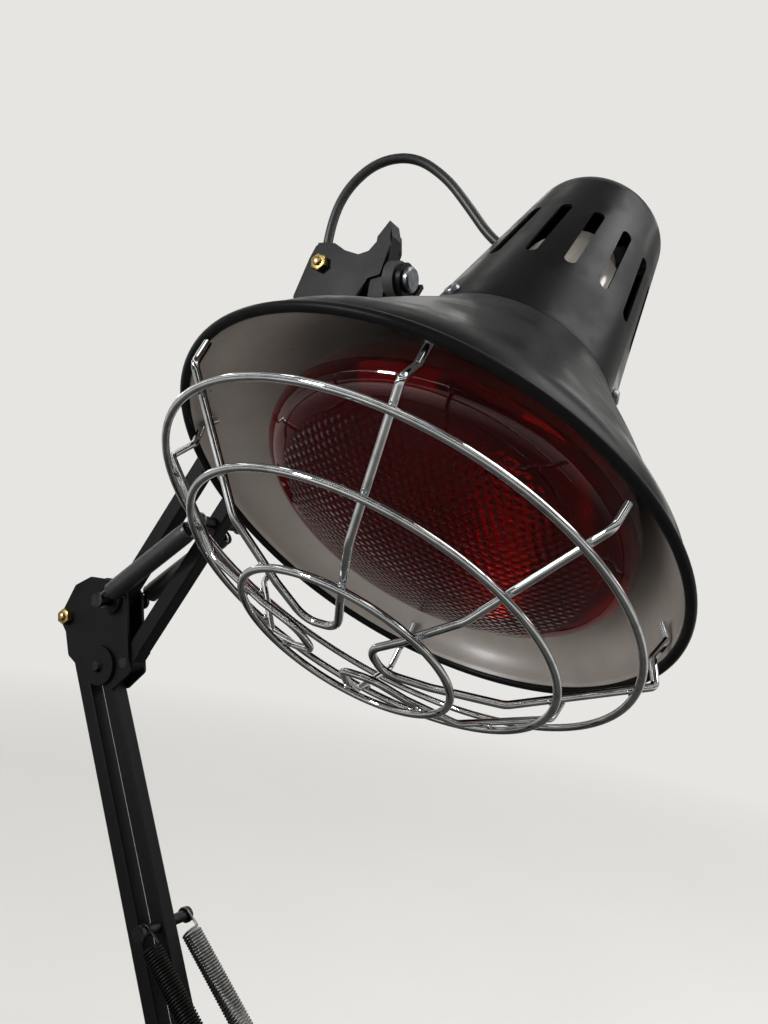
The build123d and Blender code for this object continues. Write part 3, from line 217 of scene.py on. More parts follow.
# %% Powder coat
coat = start_finish("satin_black_powder_coat", Specular_IOR_Level=0.1)
lay_tint(coat, blobs(1.6, 4, 0.7), (0.55, 0.8), "#0e0e0f", "#181817")
lay_shine(coat, blobs(22, 3), (0.3, 0.7), (0.36, 0.5))
lay_skin(coat, blobs(1.1, 1), 0.035, 0.55)
PAINTED = (
    "rear_lower_bar", "rear_lower_eyes", "front_lower_bar", "front_lower_eyes", "rear_upper_bar",
    "rear_upper_eyes", "front_upper_bar", "front_upper_eyes", "elbow_plate_near", "elbow_plate_far",
    "elbow_cheeks", "head_plate_near", "head_plate_far", "head_block", "swivel_strap", "neck_lug",
    "base_bracket", "base_cover",
)
dress(coat.material, *PAINTED)
print("painted", len(PAINTED), "solids")

# %% [markdown]
# ## Blackened and plated steel
# Bolts and pins are blackened: an oxide skin with a deep satin shine and a trace of bare steel. The stud,
# the washer and the bolt on the lug are zinc plated, which is paler and clouded, with a faint blue tint.

# %% Steel finishes
SCRATCH_STRETCH = (1.0, 9.0, 1.0)


def worn_metal(name, base, stain, roughness, cloud, scratch):
    """Bare or plated metal: clouds of stain, and fine scratches that stretch each highlight."""
    metal = start_finish(name, Metallic=1.0)
    lay_tint(metal, blobs(cloud, 4, 0.6), (0.35, 0.72), base, stain)
    lay_shine(metal, blobs(cloud, 4, 0.6), (0.3, 0.7), roughness)
    squeezed = {"Vector": metal.point, "Scale": SCRATCH_STRETCH}
    along = add(metal.tree, "ShaderNodeMapping", squeezed).outputs[0]
    lay_skin(metal, blobs(scratch, 2), 0.012, 0.4, along)
    return metal.material


black_steel = worn_metal("black_oxide_steel", "#2b2b2c", "#3b3a39", (0.32, 0.46), 2.5, 0.8)
dress(
    black_steel, "lower_spring_pin", "upper_spring_pin", "base_spring_pin", "elbow_bolts", "head_bolts",
    "base_bolts",
)
zinc = worn_metal("zinc_plated_steel", "#74767a", "#505254", (0.3, 0.46), 2.0, 0.7)
dress(zinc, "tilt_stud", "tilt_washer", "nod_bolt", "holder_bridge", "swivel_post")
print(black_steel.name, "and", zinc.name)

# %% [markdown]
# ## Brass
# The two hexagon nuts on the near side, and the bolt ends in them, are turned brass. Air dulls it, so the
# yellow drifts towards brown in small clouds, and its shine is softer than on plated steel.

# %% Brass
brass = worn_metal("turned_brass", "#a9935f", "#6f5c38", (0.26, 0.42), 1.8, 0.5)
print(brass.name)

# %% [markdown]
# ## Rubber, plastic, porcelain and iron
# Rubber is dull and slightly chalky. Moulded plastic has an even satin skin. The lamp holder is glazed
# porcelain. The weight is rough cast iron with a thin coat of grey primer. All are one colour with faint
# clouds and a fine texture, so one loop makes them, from a table of what differs: two colours, the
# roughness, the texture's size and its depth in millimetres, and the solids.

# %% Moulded and cast finishes
MOULDED = (
    ("black_rubber", "#1b1b1b", "#262625", 0.75, 0.6, 0.03,
     ("base_pad", "cap_grommet", "head_grommet", "base_gland")),
    ("moulded_black_plastic", "#18181a", "#1e1e20", 0.42, 0.5, 0.012, ("switch_housing", "pan_bush")),
    ("polished_black_plastic", "#141416", "#1a1a1c", 0.16, 0.8, 0.004, ("switch_rocker",)),
    ("pressed_fibre", "#202021", "#2e2d2b", 0.7, 0.4, 0.03, ("friction_disc",)),
    ("glazed_porcelain", "#e7e3d8", "#dcd7c9", 0.12, 1.6, 0.02, ("lamp_holder",)),
    ("primed_cast_iron", "#4b4b4a", "#3c3b39", 0.62, 1.2, 0.12, ("base_weight",)),
)
for name, base, second, roughness, size, depth, solids in MOULDED:
    moulded = start_finish(name, Roughness=roughness)
    lay_tint(moulded, blobs(9 * size, 3), (0.35, 0.7), base, second)
    lay_skin(moulded, blobs(size, 2), depth, 0.6)
    dress(moulded.material, *solids)
shell = worn_metal("lamp_base_aluminium", "#c9cacb", "#aeb0b1", (0.25, 0.38), 2.0, 0.6)
dress(shell, "bulb_base")
print(len(MOULDED), "moulded finishes and", shell.name)

# %% [markdown]
# ## Chrome wire
# The guard is steel wire, bent and spot welded first and then chromed. Chrome is a mirror, so it takes
# its look from the room, the shade and the bulb. A very shallow waviness, as the wire's drawing leaves it,
# keeps the reflections from being ruler straight. In patches the plating is a little duller.

# %% Chrome
plating = start_finish("chromed_wire", Metallic=1.0)
lay_tint(plating, blobs(6, 3), (0.45, 0.75), "#cfd1d3", "#a9abad")
lay_shine(plating, blobs(6, 3), (0.4, 0.75), (0.03, 0.12))
lay_skin(plating, blobs(2.4, 2), 0.02, 0.5)
chrome = plating.material
dress(
    chrome, "guard_ring_large", "guard_ring_middle", "guard_ring_small", "guard_hairpin_top",
    "guard_hairpin_left", "guard_hairpin_bottom", "guard_hairpin_right",
)
print("chrome on", chrome.users, "wires")

# %% [markdown]
# ## Helpers for new pieces
# A new piece is made as a bmesh. Round pieces are turned on a lathe: a chain of edges, spun once about the
# upright axis. When a piece is done its doubles are merged, its faces are turned outwards, and
# its place goes into the mesh. The object itself stays at the origin, unturned and unscaled.

# %% Piece helpers
DOUBLES_WITHIN = 0.004 * MM


def finish_piece(bm, name, body, materials, place=Matrix.Identity(4), smooth_to=40):
    """Turns a bmesh into a finished piece that rides on a body."""
    bmesh.ops.remove_doubles(bm, verts=bm.verts, dist=DOUBLES_WITHIN)
    bmesh.ops.recalc_face_normals(bm, faces=bm.faces)
    bmesh.ops.transform(bm, matrix=place, verts=bm.verts)
    for face in bm.faces:
        face.smooth = True
    for edge in bm.edges:
        if len(edge.link_faces) == 2:
            edge.smooth = edge.calc_face_angle() < radians(smooth_to)
    mesh = bpy.data.meshes.new(name)
    bm.to_mesh(mesh)
    bm.free()
    piece = bpy.data.objects.new(name, mesh)
    bpy.context.collection.objects.link(piece)
    for material in materials:
        mesh.materials.append(material)
    if body:
        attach(piece, body)
    return piece


def string_of(bm, points, closed=False):
    """A chain of edges through (radius, height) points in the XZ plane, in millimetres."""
    verts = [bm.verts.new((r * MM, 0, h * MM)) for r, h in points]
    pairs = list(zip(verts, verts[1:])) + ([(verts[-1], verts[0])] if closed else [])
    return verts, [bm.edges.new(pair) for pair in pairs]


def smooth_run(points, steps):
    """More points on a smooth line through given ones."""
    dense = []
    flat = [Vector((r, h, 0)) for r, h in points]
    for i in range(len(flat) - 1):
        before = flat[max(i - 1, 0)]
        after = flat[min(i + 2, len(flat) - 1)]
        out = flat[i] + (flat[i + 1] - before) / 6
        into = flat[i + 1] - (after - flat[i]) / 6
        part = interpolate_bezier(flat[i], out, into, flat[i + 1], steps + 1)
        dense += part[:-1] if i < len(flat) - 2 else part
    return [(p.x, p.y) for p in dense]


def arc_run(centre, radius, start, end, steps):
    """Points on an arc in the profile's plane, from one angle to another in degrees."""
    angles = [radians(start + (end - start) * i / steps) for i in range(steps + 1)]
    return [(centre[0] + radius * cos(a), centre[1] + radius * sin(a)) for a in angles]


def turn_on_lathe(points, steps, closed=False):
    """Spins a profile once round the upright axis."""
    bm = bmesh.new()
    verts, edges = string_of(bm, points, closed)
    bmesh.ops.spin(
        bm, geom=verts + edges, cent=(0, 0, 0), axis=(0, 0, 1), angle=2 * pi, steps=steps, use_merge=True,
    )
    return bm


def gather(parts, name):
    """One bmesh from several, each of which is used up."""
    whole = bmesh.new()
    for bm in parts:
        part = bpy.data.meshes.new(name)
        bm.to_mesh(part)
        bm.free()
        whole.from_mesh(part)
        bpy.data.meshes.remove(part)
    return whole


def moved_verts(made):
    """The points among what an operator made."""
    return [g for g in made if isinstance(g, bmesh.types.BMVert)]


print("an arc of four steps has", len(arc_run((0, 0), 1, 0, 90, 4)), "points")

# %% [markdown]
# ## Head cord
# A short lead leaves the bracket, stands up in a loop and goes into the cap from the side. It is a fixed
# length of round PVC cable that has to let the head tilt, so the loop is generous and free. One smooth
# spline through a few given points gives the calm curve that a stiff sheath takes. The tube is made from
# that spline, and cut once, across the run down to the cap, into a long part and a short part.

# %% Cord finish
sheath = start_finish("pvc_cable_sheath", Roughness=0.46)
lay_tint(sheath, blobs(5, 3), (0.4, 0.75), "#0c0c0d", "#141414")
lay_skin(sheath, blobs(1.6, 1), 0.004, 0.15)
print(sheath.material.name)

# %% Cord route
CORD_ROUTE = [
    (-16.5, 0, 476.5), (-16.5, 0, 489.0), (-12.2, 2.4, 505.5), (-1.5, 7.0, 519.0), (13.8, 12.8, 522.9),
    (28.9, 17.8, 514.4), (41.3, 20.6, 501.0), (51.9, 22.1, 488.6), (61.33, 21.98, 481.58),
    (69.47, 19.52, 476.28),
]
CORD_R = 2.2 * MM
CUT_BEFORE_CAP = 36 * MM


def cord_spline(name, thickness):
    """The cord's own spline, with or without its sheath round it."""
    line = bpy.data.curves.new(name, "CURVE")
    line.dimensions = "3D"
    line.bevel_depth = thickness
    line.bevel_resolution = 5
    line.use_fill_caps = True
    spline = line.splines.new("NURBS")
    spline.points.add(len(CORD_ROUTE) - 1)
    for p, at in zip(spline.points, CORD_ROUTE):
        p.co = (*(Vector(at) * MM), 1)
    spline.order_u = 3
    spline.use_endpoint_u = True
    spline.resolution_u = 12
    return bpy.data.objects.new(name, line)


bare = bpy.data.meshes.new_from_object(cord_spline("head_cord_line", 0.0))
cord_path = [v.co.copy() for v in bare.vertices]
tube = bpy.data.meshes.new_from_object(cord_spline("head_cord_tube", CORD_R))


def run_length(points):
    """The length of a line through points."""
    return sum((b - a).length for a, b in zip(points, points[1:]))


cut = len(cord_path) - 2
while run_length(cord_path[cut:]) < CUT_BEFORE_CAP:
    cut -= 1
onward = (cord_path[cut + 1] - cord_path[cut - 1]).normalized()
foot_length = run_length(cord_path[:cut + 1])
print("cord", round(run_length(cord_path) / MM, 1), "mm long, cut at", round(foot_length / MM, 1))


# %% Cord pieces
def lead_part(name, line, away, first_body, last_body, grommet):
    """The lead on one side of the cut."""
    bm = bmesh.new()
    bm.from_mesh(tube)
    whole = bm.verts[:] + bm.edges[:] + bm.faces[:]
    bmesh.ops.bisect_plane(bm, geom=whole, plane_co=cord_path[cut], plane_no=away, clear_outer=True)
    bmesh.ops.holes_fill(bm, edges=bm.edges, sides=0)
    piece = finish_piece(bm, name, None, [sheath.material])
    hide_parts("head_cord")
    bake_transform(piece)
    return piece


LEADS = (
    ("head_lead", cord_path[:cut + 1], onward, "head_bracket", "swivel", "head_grommet"),
    ("head_lead_end", cord_path[cut:], -onward, "swivel", "lamp", "cap_grommet"),
)
for settings in LEADS:
    lead = lead_part(*settings)
    print(lead.name, len(lead.data.polygons), "faces")

# %% [markdown]
# ## Springs
# The arm is balanced by four extension springs: close coils of round wire with a hook at each end. A bent
# curve could carry the wire, but winding a ring of edges is closer to how a spring is made. The ring goes
# round the pin, runs to the coil, turns across, is wound with a small climb at each step, and goes out to
# the other hook. Each spring is laid straight from pin to pin. The near lower spring is a darker copy of
# the same steel, a painted shade; the others are bare drawn steel.

# %% Spring wire
spring_wire = worn_metal("drawn_spring_steel", "#8a8a88", "#626260", (0.36, 0.5), 3.0, 0.4)
# The darker copy of the same steel is a painted shade, for the near lower spring.
shaded_spring_wire = worn_metal("spring_steel_painted_shade", "#222221", "#161616", (0.4, 0.52), 3.0, 0.4)


def edges_between(verts):
    """The edges whose two ends are both in a set of points."""
    chosen = set(verts)
    touching = {e for v in verts for e in v.link_edges}
    return [e for e in touching if e.verts[0] in chosen and e.verts[1] in chosen]


def draw_out(bm, ring, step):
    """Pulls a ring of wire straight on."""
    ahead = moved_verts(bmesh.ops.extrude_edge_only(bm, edges=edges_between(ring))["geom"])
    bmesh.ops.translate(bm, vec=step, verts=ahead)
    return ahead


def wind(bm, ring, centre, axis, angle, steps, climb=0.0):
    """Winds a ring of wire round an axis, with a climb along it at each step."""
    made = bmesh.ops.spin(
        bm, geom=list(ring) + edges_between(ring), cent=centre, axis=axis, dvec=Vector(axis) * climb,
        angle=angle, steps=steps,
    )
    return moved_verts(made["geom_last"])


print(spring_wire.name, "and", shaded_spring_wire.name)

# %% Spring
SPRING_Y = 12.8
WIRE = 1.2
HOOK_R = 3.2
SIDE_STEP = 0.9
BEND_RUN = 2.0
WIRE_SIDES = 8
TURN_SIDES = 16
HOOK_STEPS = 10
BEND_STEPS = 4


def extension_spring(length, coil_r, coil_low, turns):
    """A spring along Z: hook, coils and hook. Sizes in millimetres."""
    bm = bmesh.new()
    flat = Matrix.Translation((SIDE_STEP * MM, -HOOK_R * MM, 0))
    ring = bmesh.ops.create_circle(bm, segments=WIRE_SIDES, radius=WIRE / 2 * MM, matrix=flat)["verts"]
    ring = wind(bm, ring, (0, 0, 0), (1, 0, 0), pi, HOOK_STEPS)
    low = coil_low - BEND_RUN
    ring = draw_out(bm, ring, Vector((0, coil_r - HOOK_R, low)) * MM)
    ring = wind(bm, ring, Vector((0, coil_r, low)) * MM, (0, 1, 0), -pi / 2, BEND_STEPS)
    low += SIDE_STEP
    high = length - coil_low
    climb = (high - low) / (turns * TURN_SIDES) * MM
    ring = wind(bm, ring, (0, 0, 0), (0, 0, 1), 2 * pi * turns, turns * TURN_SIDES, climb)
    ring = wind(bm, ring, Vector((0, coil_r, high + SIDE_STEP)) * MM, (0, 1, 0), pi / 2, BEND_STEPS)
    ring = draw_out(bm, ring, Vector((0, HOOK_R - coil_r, length - high - SIDE_STEP)) * MM)
    wind(bm, ring, Vector((0, 0, length)) * MM, (1, 0, 0), pi, HOOK_STEPS)
    bmesh.ops.holes_fill(bm, edges=bm.edges, sides=WIRE_SIDES)
    return bm


def along_pins(start, end, y):
    """A matrix whose Z runs from one pin to the other, at a given y."""
    way = (end - start).normalized()
    return placed((start + Vector((0, y, 0))) * MM, Vector((0, 1, 0)), way)


print("wire", WIRE, "mm, hooks", 2 * HOOK_R, "mm across")

# %% Lower springs
LOWER_PIN = Vector((-41.85, 0, 160.8))
ANCHOR = Vector((36.0, 0, 99.97))
LOWER_COIL_R, LOWER_COIL_LOW, LOWER_TURNS = 4.05, 9.0, 60
# The near spring takes the darker copy, a painted shade.
for side, y, wire in (("near", -SPRING_Y, shaded_spring_wire), ("far", SPRING_Y, spring_wire)):
    coil = extension_spring((ANCHOR - LOWER_PIN).length, LOWER_COIL_R, LOWER_COIL_LOW, LOWER_TURNS)
    spring = finish_piece(coil, f"lower_arm_spring_{side}", None, [wire], along_pins(LOWER_PIN, ANCHOR, y))
    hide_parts(f"lower_spring_{side}")
    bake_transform(spring)
    print(spring.name, len(spring.data.polygons), "faces")

# %% [markdown]
# ## Upper springs in their sleeves
# The springs of the upper arm are the same kind, but each one runs inside a smooth black plastic tube, so
# only its hooks show. The tube is turned from its profile, with lips drawn in slightly at both ends, and its
# skin is satin with long faint ripples where the coils press on it. Its long sides are cut into short
# lengths.

# %% Upper springs
REAR_UPPER_FOOT = Vector((-103.0, 0, 298.0))
UPPER_PIN = Vector((-50.43, 0, 343.68))
UPPER_COIL_R, UPPER_COIL_LOW, UPPER_TURNS = 3.15, 8.6, 36
upper_length = (UPPER_PIN - REAR_UPPER_FOOT).length
coils = []
for y in (-SPRING_Y, SPRING_Y):
    coil = extension_spring(upper_length, UPPER_COIL_R, UPPER_COIL_LOW, UPPER_TURNS)
    bmesh.ops.transform(coil, matrix=along_pins(REAR_UPPER_FOOT, UPPER_PIN, y), verts=coil.verts)
    coils.append(coil)
hooks = finish_piece(gather(coils, "one_upper_spring"), "upper_arm_springs", None, [spring_wire])
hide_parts("upper_springs")
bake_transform(hooks)
print("upper springs", len(hooks.data.polygons), "faces")

# %% Sleeve finish
SLEEVE_R = 4.7
SLEEVE_WALL = 0.8
SLEEVE_INSET = 7.5
RIPPLE = 1.6  # millimetres to a radian, so a ripple about every 10
WAVE_RADIANS = 20  # the wave texture's own radians to a unit
plastic = start_finish("smooth_black_tube", Roughness=0.4)
length_way = (UPPER_PIN - REAR_UPPER_FOOT).normalized()
across = Vector((0, 1, 0))
lay_flat = Matrix((across, length_way.cross(across), length_way)).to_euler()
along = add(plastic.tree, "ShaderNodeMapping", {"Vector": plastic.point, "Rotation": lay_flat}).outputs[0]
bands = {"Vector": along, "Scale": 1 / (WAVE_RADIANS * RIPPLE * MM), "Distortion": 0.3}
ripple = add(plastic.tree, "ShaderNodeTexWave", bands, bands_direction="Z").outputs["Fac"]
bumps = {"Height": ripple, "Distance": 0.04 * MM, "Strength": 0.25}
raised = add(plastic.tree, "ShaderNodeBump", bumps).outputs["Normal"]
plastic.tree.links.new(raised, plastic.shader.inputs["Normal"])
lay_tint(plastic, blobs(4, 4, 0.7), (0.55, 0.8), "#171718", "#2a2a2a")
print(plastic.material.name)

# %% Sleeves
LIP = [
    (SLEEVE_R - SLEEVE_WALL, 0.4), (SLEEVE_R - 0.45, 0), (SLEEVE_R - 0.1, 0.5), (SLEEVE_R - 0.25, 2.2),
    (SLEEVE_R, 4),
]
sleeve_top = upper_length - SLEEVE_INSET
sleeve_profile = [(r, SLEEVE_INSET + h) for r, h in LIP] + [(r, sleeve_top - h) for r, h in reversed(LIP)]
for side, y in (("near", -SPRING_Y), ("far", SPRING_Y)):
    black_tube = turn_on_lathe(sleeve_profile, 32, closed=True)
    long_edges = [e for e in black_tube.edges if abs(e.verts[0].co.z - e.verts[1].co.z) > 20 * MM]
    bmesh.ops.subdivide_edges(black_tube, edges=long_edges, cuts=16, use_grid_fill=True)
    place = along_pins(REAR_UPPER_FOOT, UPPER_PIN, y)
    sleeve = finish_piece(black_tube, f"spring_sleeve_{side}", None, [plastic.material], place)
    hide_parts(f"upper_spring_sleeve_{side}")
    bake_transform(sleeve)
    print(sleeve.name, len(sleeve.data.polygons), "faces")

# %% [markdown]
# ## Shade
# The shade is spun sheet steel: a bell that sweeps out from its neck, with its edge rolled into a bead. It is
# turned here from one profile, as on the spinning lathe. Outside it is matt charcoal paint. Inside, the wall
# has a lighter warm grey, which is painted light for the light that falls into the bell, as a second
# material slot on the same skin.

# %% Shade finishes
enamel = start_finish("matt_charcoal_enamel", Specular_IOR_Level=0.05)
lay_tint(enamel, blobs(2.2, 5, 0.72), (0.56, 0.85), "#0f0f10", "#1b1b1a")
lay_shine(enamel, blobs(26, 5, 0.62), (0.44, 0.58), (0.28, 0.42))
lay_skin(enamel, blobs(0.9, 1), 0.02, 0.5)
# The inner wall's lighter warm grey is painted light, for the light that falls into the bell.
grey = start_finish("inner_grey_painted_light", Specular_IOR_Level=0.4)
clouded = lay_tint(grey, blobs(28, 4, 0.6), (0.35, 0.7), "#958e88", "#86807a")
scattered = {"Vector": grey.point, "Scale": 1 / (7.5 * MM), "Randomness": 1.0}
specks = add(grey.tree, "ShaderNodeTexVoronoi", scattered).outputs["Distance"]
speck = add(grey.tree, "ShaderNodeMapRange", {"Value": specks, 1: 0.035, 2: 0.06, 3: 1, 4: 0}).outputs[0]
colours = {0: speck, 6: clouded, 7: linear("#3a3633")}
speckled = add(grey.tree, "ShaderNodeMix", colours, data_type="RGBA").outputs[2]
grey.tree.links.new(speckled, grey.shader.inputs["Base Color"])
lay_shine(grey, blobs(28, 4, 0.6), (0.35, 0.7), (0.34, 0.46))
lay_skin(grey, blobs(1.2, 1), 0.03, 0.5)
print(enamel.material.name, "and", grey.material.name)

# %% Shade
RIM_R = 86.0
LIP_R = 1.6
SHEET = 1.0
COLLAR_R, COLLAR_TOP = 35.0, 80
OUTER_BELL = [(84.9, 1.4), (81.8, 10), (70, 25), (58.8, 41), (48.5, 55), (39.3, 69.0)]
INNER_BELL = [(83.9, 1.0), (80.85, 9.5), (69.2, 24.4), (58.0, 40.4), (47.7, 54.4), (38.45, 68.5)]
bead = arc_run((RIM_R, 0), LIP_R, 158, -190, 26)
collar = [(COLLAR_R, 69.5), (COLLAR_R, COLLAR_TOP), (COLLAR_R - SHEET, COLLAR_TOP), (COLLAR_R - SHEET, 68.5)]
profile = bead[::-1] + smooth_run(OUTER_BELL, 10) + collar + smooth_run(INNER_BELL, 10)[::-1]
shade = turn_on_lathe(profile, 144, closed=True)
bmesh.ops.recalc_face_normals(shade, faces=shade.faces)
# Faces of the inner wall take the lighter grey, the painted light.
for face in shade.faces:
    centre = face.calc_center_median()
    outward = Vector((centre.x, centre.y, 0)).normalized()
    in_bell = Vector((centre.x, centre.y)).length < (RIM_R - LIP_R - 0.1) * MM
    face.material_index = 1 if face.normal.dot(outward) < 0 and in_bell else 0
shade = finish_piece(shade, "bell_shade", "lamp", [enamel.material, grey.material], HEAD)
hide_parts("shade")
dress(enamel.material, "slotted_cap")
print("shade", len(shade.data.polygons), "faces")

# %% [markdown]
# ## Cap screws
# Three pan-head screws hold the cap on the shade's collar. Each head is a low dome with a straight slot. The
# dome is a bevelled cone. Two cuts across its top mark the slot, which is then pushed down. Nobody lines up
# the slots of real screws, so each one is turned by another angle.

# %% Cap screws
SCREW_ANGLES = (-112, 8, 128)
SCREW_HEIGHT = 74.8
CAP_FOOT, CAP_TOP = 70.5, 166.5
CAP_BASE_R, CAP_TOP_R = 38.5, 25.8
SCREW_HEAD_R, SCREW_TOP_R, SCREW_HEAD_T = 3.0, 2.5, 1.6
HEAD_BEVEL = 0.7
SLOT_W, SLOT_DEPTH = 0.7, 0.7
SHANK_R, SHANK_TIP_R, SHANK_LENGTH, SHANK_MIDDLE = 1.45, 1.2, 4.5, -2.2
cap_slope = (CAP_BASE_R - CAP_TOP_R) / (CAP_TOP - CAP_FOOT)
cap_r = CAP_BASE_R - cap_slope * (SCREW_HEIGHT - CAP_FOOT)


def pan_head_screw():
    """A screw with its seat at the origin and its head towards +Z."""
    bm = bmesh.new()
    seat = Matrix.Translation((0, 0, SCREW_HEAD_T / 2 * MM))
    bmesh.ops.create_cone(
        bm, cap_ends=True, segments=24, radius1=SCREW_HEAD_R * MM, radius2=SCREW_TOP_R * MM,
        depth=SCREW_HEAD_T * MM, matrix=seat,
    )
    rim = [e for e in bm.edges if all(v.co.z > SCREW_HEAD_T * 0.9 * MM for v in e.verts)]
    bmesh.ops.bevel(
        bm, geom=rim, offset=HEAD_BEVEL * MM, affect="EDGES", segments=4, profile=0.5, material=-1,
    )
    for edge_x in (-SLOT_W / 2, SLOT_W / 2):
        whole = bm.verts[:] + bm.edges[:] + bm.faces[:]
        bmesh.ops.bisect_plane(bm, geom=whole, plane_co=(edge_x * MM, 0, 0), plane_no=(1, 0, 0))
    slot = [f for f in bm.faces if f.normal.z > 0.99 and abs(f.calc_center_median().x) < SLOT_W / 3 * MM]
    sunk = moved_verts(bmesh.ops.extrude_face_region(bm, geom=slot)["geom"])
    bmesh.ops.translate(bm, vec=(0, 0, -SLOT_DEPTH * MM), verts=sunk)
    bmesh.ops.delete(bm, geom=slot, context="FACES_ONLY")
    shank = Matrix.Translation((0, 0, SHANK_MIDDLE * MM))
    bmesh.ops.create_cone(
        bm, cap_ends=True, segments=16, radius1=SHANK_TIP_R * MM, radius2=SHANK_R * MM,
        depth=SHANK_LENGTH * MM, matrix=shank,
    )
    return bm


screws = []
for angle in SCREW_ANGLES:
    a = radians(angle)
    facing = Vector((cos(a), sin(a), cap_slope)).normalized()
    seat_at = Vector((cap_r * cos(a), cap_r * sin(a), SCREW_HEIGHT)) * MM
    level = Vector((-sin(a), cos(a), 0))
    slot_way = level * cos(a * 3) + facing.cross(level) * sin(a * 3)
    screw = pan_head_screw()
    place = HEAD @ placed(seat_at, slot_way.normalized(), facing)
    bmesh.ops.transform(screw, matrix=place, verts=screw.verts)
    screws.append(screw)
screws = finish_piece(gather(screws, "one_screw"), "cap_pan_screws", "lamp", [zinc])
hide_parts("cap_screws")
print("screws", len(screws.data.polygons), "faces")

# %% [markdown]
# ## Nuts and bolt ends
# Each nut is a hexagon whose corners are turned off on the outer side, with the rounded end of its bolt
# standing out of it. A six-sided cone gives the hexagon and a bevel takes off its edges. The bolt end is
# turned from a profile whose small steps are the last threads.

# %% Brass nuts
NUT_FLATS = 7.0
NUT_T = 3.6
NUT_BEVEL = 0.5
PLATE_OUT = 5.8
THREAD_PROFILE = [
    (0, 0.2), (2.05, 0.2), (2.05, 3.7), (1.8, 3.9), (2.0, 4.1), (1.8, 4.35), (2.0, 4.55), (1.7, 4.95),
    (1.1, 5.2), (0, 5.3),
]


def brass_nut(name, solid, body, pivot, turn):
    """A nut with its bolt end, facing the near side at a pivot of the arm's plane."""
    bm = turn_on_lathe(THREAD_PROFILE, 20)
    seat = Matrix.Translation((0, 0, NUT_T / 2 * MM)) @ Matrix.Rotation(radians(turn), 4, "Z")
    corner_r = NUT_FLATS / 2 / cos(pi / 6) * MM
    nut = bmesh.ops.create_cone(
        bm, cap_ends=True, segments=6, radius1=corner_r, radius2=corner_r, depth=NUT_T * MM, matrix=seat,
    )["verts"]
    outer = [e for e in edges_between(nut) if all(v.co.z > (NUT_T - 0.01) * MM for v in e.verts)]
    bmesh.ops.bevel(
        bm, geom=outer, offset=NUT_BEVEL * MM, affect="EDGES", segments=2, profile=0.5, material=-1,
    )
    place = placed(Vector((pivot[0], -PLATE_OUT, pivot[1])) * MM, Vector((1, 0, 0)), Vector((0, -1, 0)))
    piece = finish_piece(bm, name, body, [brass], place, smooth_to=28)
    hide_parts(solid)
    return piece


brass_nut("elbow_brass_nut", "elbow_nut", "elbow", (-131.0, 285.0), 15)
brass_nut("head_brass_nut", "head_nut", "head_bracket", (-13.8, 465.76), 10)
print("nuts", NUT_FLATS, "mm across flats")

# %% [markdown]
# ## Bulb
# The bulb is a pressed glass reflector lamp in deep red. Its face is stippled with small round dimples in
# rows, which spread the heat, and its shoulder is smooth. Behind the face a silvered bowl throws light
# forward, which makes the glass look dark from most angles and glint red from a few. Both halves are
# turned from profiles. The dimples are relief in the finish, because there are more than a thousand.

# %% Red glass
LENS_R = 62.5
FACE_R = 53.0
DIMPLE = 3.1
STRAY = 1.6 * MM
glass = start_finish(
    "stippled_red_glass", Base_Color=linear("#a0020e"), Roughness=0.05, IOR=1.45, Transmission_Weight=0.97,
)
own_place = {"Vector": glass.point, "Location": bulb_centre, "Rotation": BULB.to_3x3().to_euler()}
own = add(glass.tree, "ShaderNodeMapping", own_place, vector_type="TEXTURE").outputs[0]
flat = add(glass.tree, "ShaderNodeMapping", {"Vector": own, "Scale": (1, 1, 0)}).outputs[0]
reach = add(glass.tree, "ShaderNodeVectorMath", {0: flat}, operation="LENGTH").outputs["Value"]
waver = add(glass.tree, "ShaderNodeTexNoise", {"Vector": own, **blobs(9, 2)}).outputs["Color"]
nudged = {0: waver, 1: (STRAY, STRAY, 0.0), 2: flat}
strayed = add(glass.tree, "ShaderNodeVectorMath", nudged, operation="MULTIPLY_ADD").outputs[0]
print(glass.material.name)

# %% Dimples
# Three sets of straight waves at 60 degrees add up to round hills in rows.
crest = None
for turn in (0, 60, 120):
    a = radians(turn)
    row_way = Vector((cos(a), sin(a), 0)) * 4 * pi / (3 ** 0.5 * DIMPLE * MM)
    along = {0: strayed, 1: row_way}
    phase = add(glass.tree, "ShaderNodeVectorMath", along, operation="DOT_PRODUCT").outputs["Value"]
    row = add(glass.tree, "ShaderNodeMath", {0: phase}, operation="COSINE").outputs[0]
    if crest is not None:
        row = add(glass.tree, "ShaderNodeMath", {0: crest, 1: row}, operation="ADD").outputs[0]
    crest = row
dimples = add(glass.tree, "ShaderNodeMapRange", {"Value": crest, 1: -1.5, 2: 3.0}).outputs[0]
edge = {"Value": reach, 1: (FACE_R - 2.5) * MM, 2: (FACE_R - 0.5) * MM, 3: 1, 4: 0}
on_face = add(glass.tree, "ShaderNodeMapRange", edge).outputs[0]
stipple = add(glass.tree, "ShaderNodeMath", {0: dimples, 1: on_face}, operation="MULTIPLY").outputs[0]
bumps = {"Height": stipple, "Distance": 0.26 * MM, "Strength": 1.0}
raised = add(glass.tree, "ShaderNodeBump", bumps).outputs["Normal"]
glass.tree.links.new(raised, glass.shader.inputs["Normal"])
print("dimples every", DIMPLE, "mm")

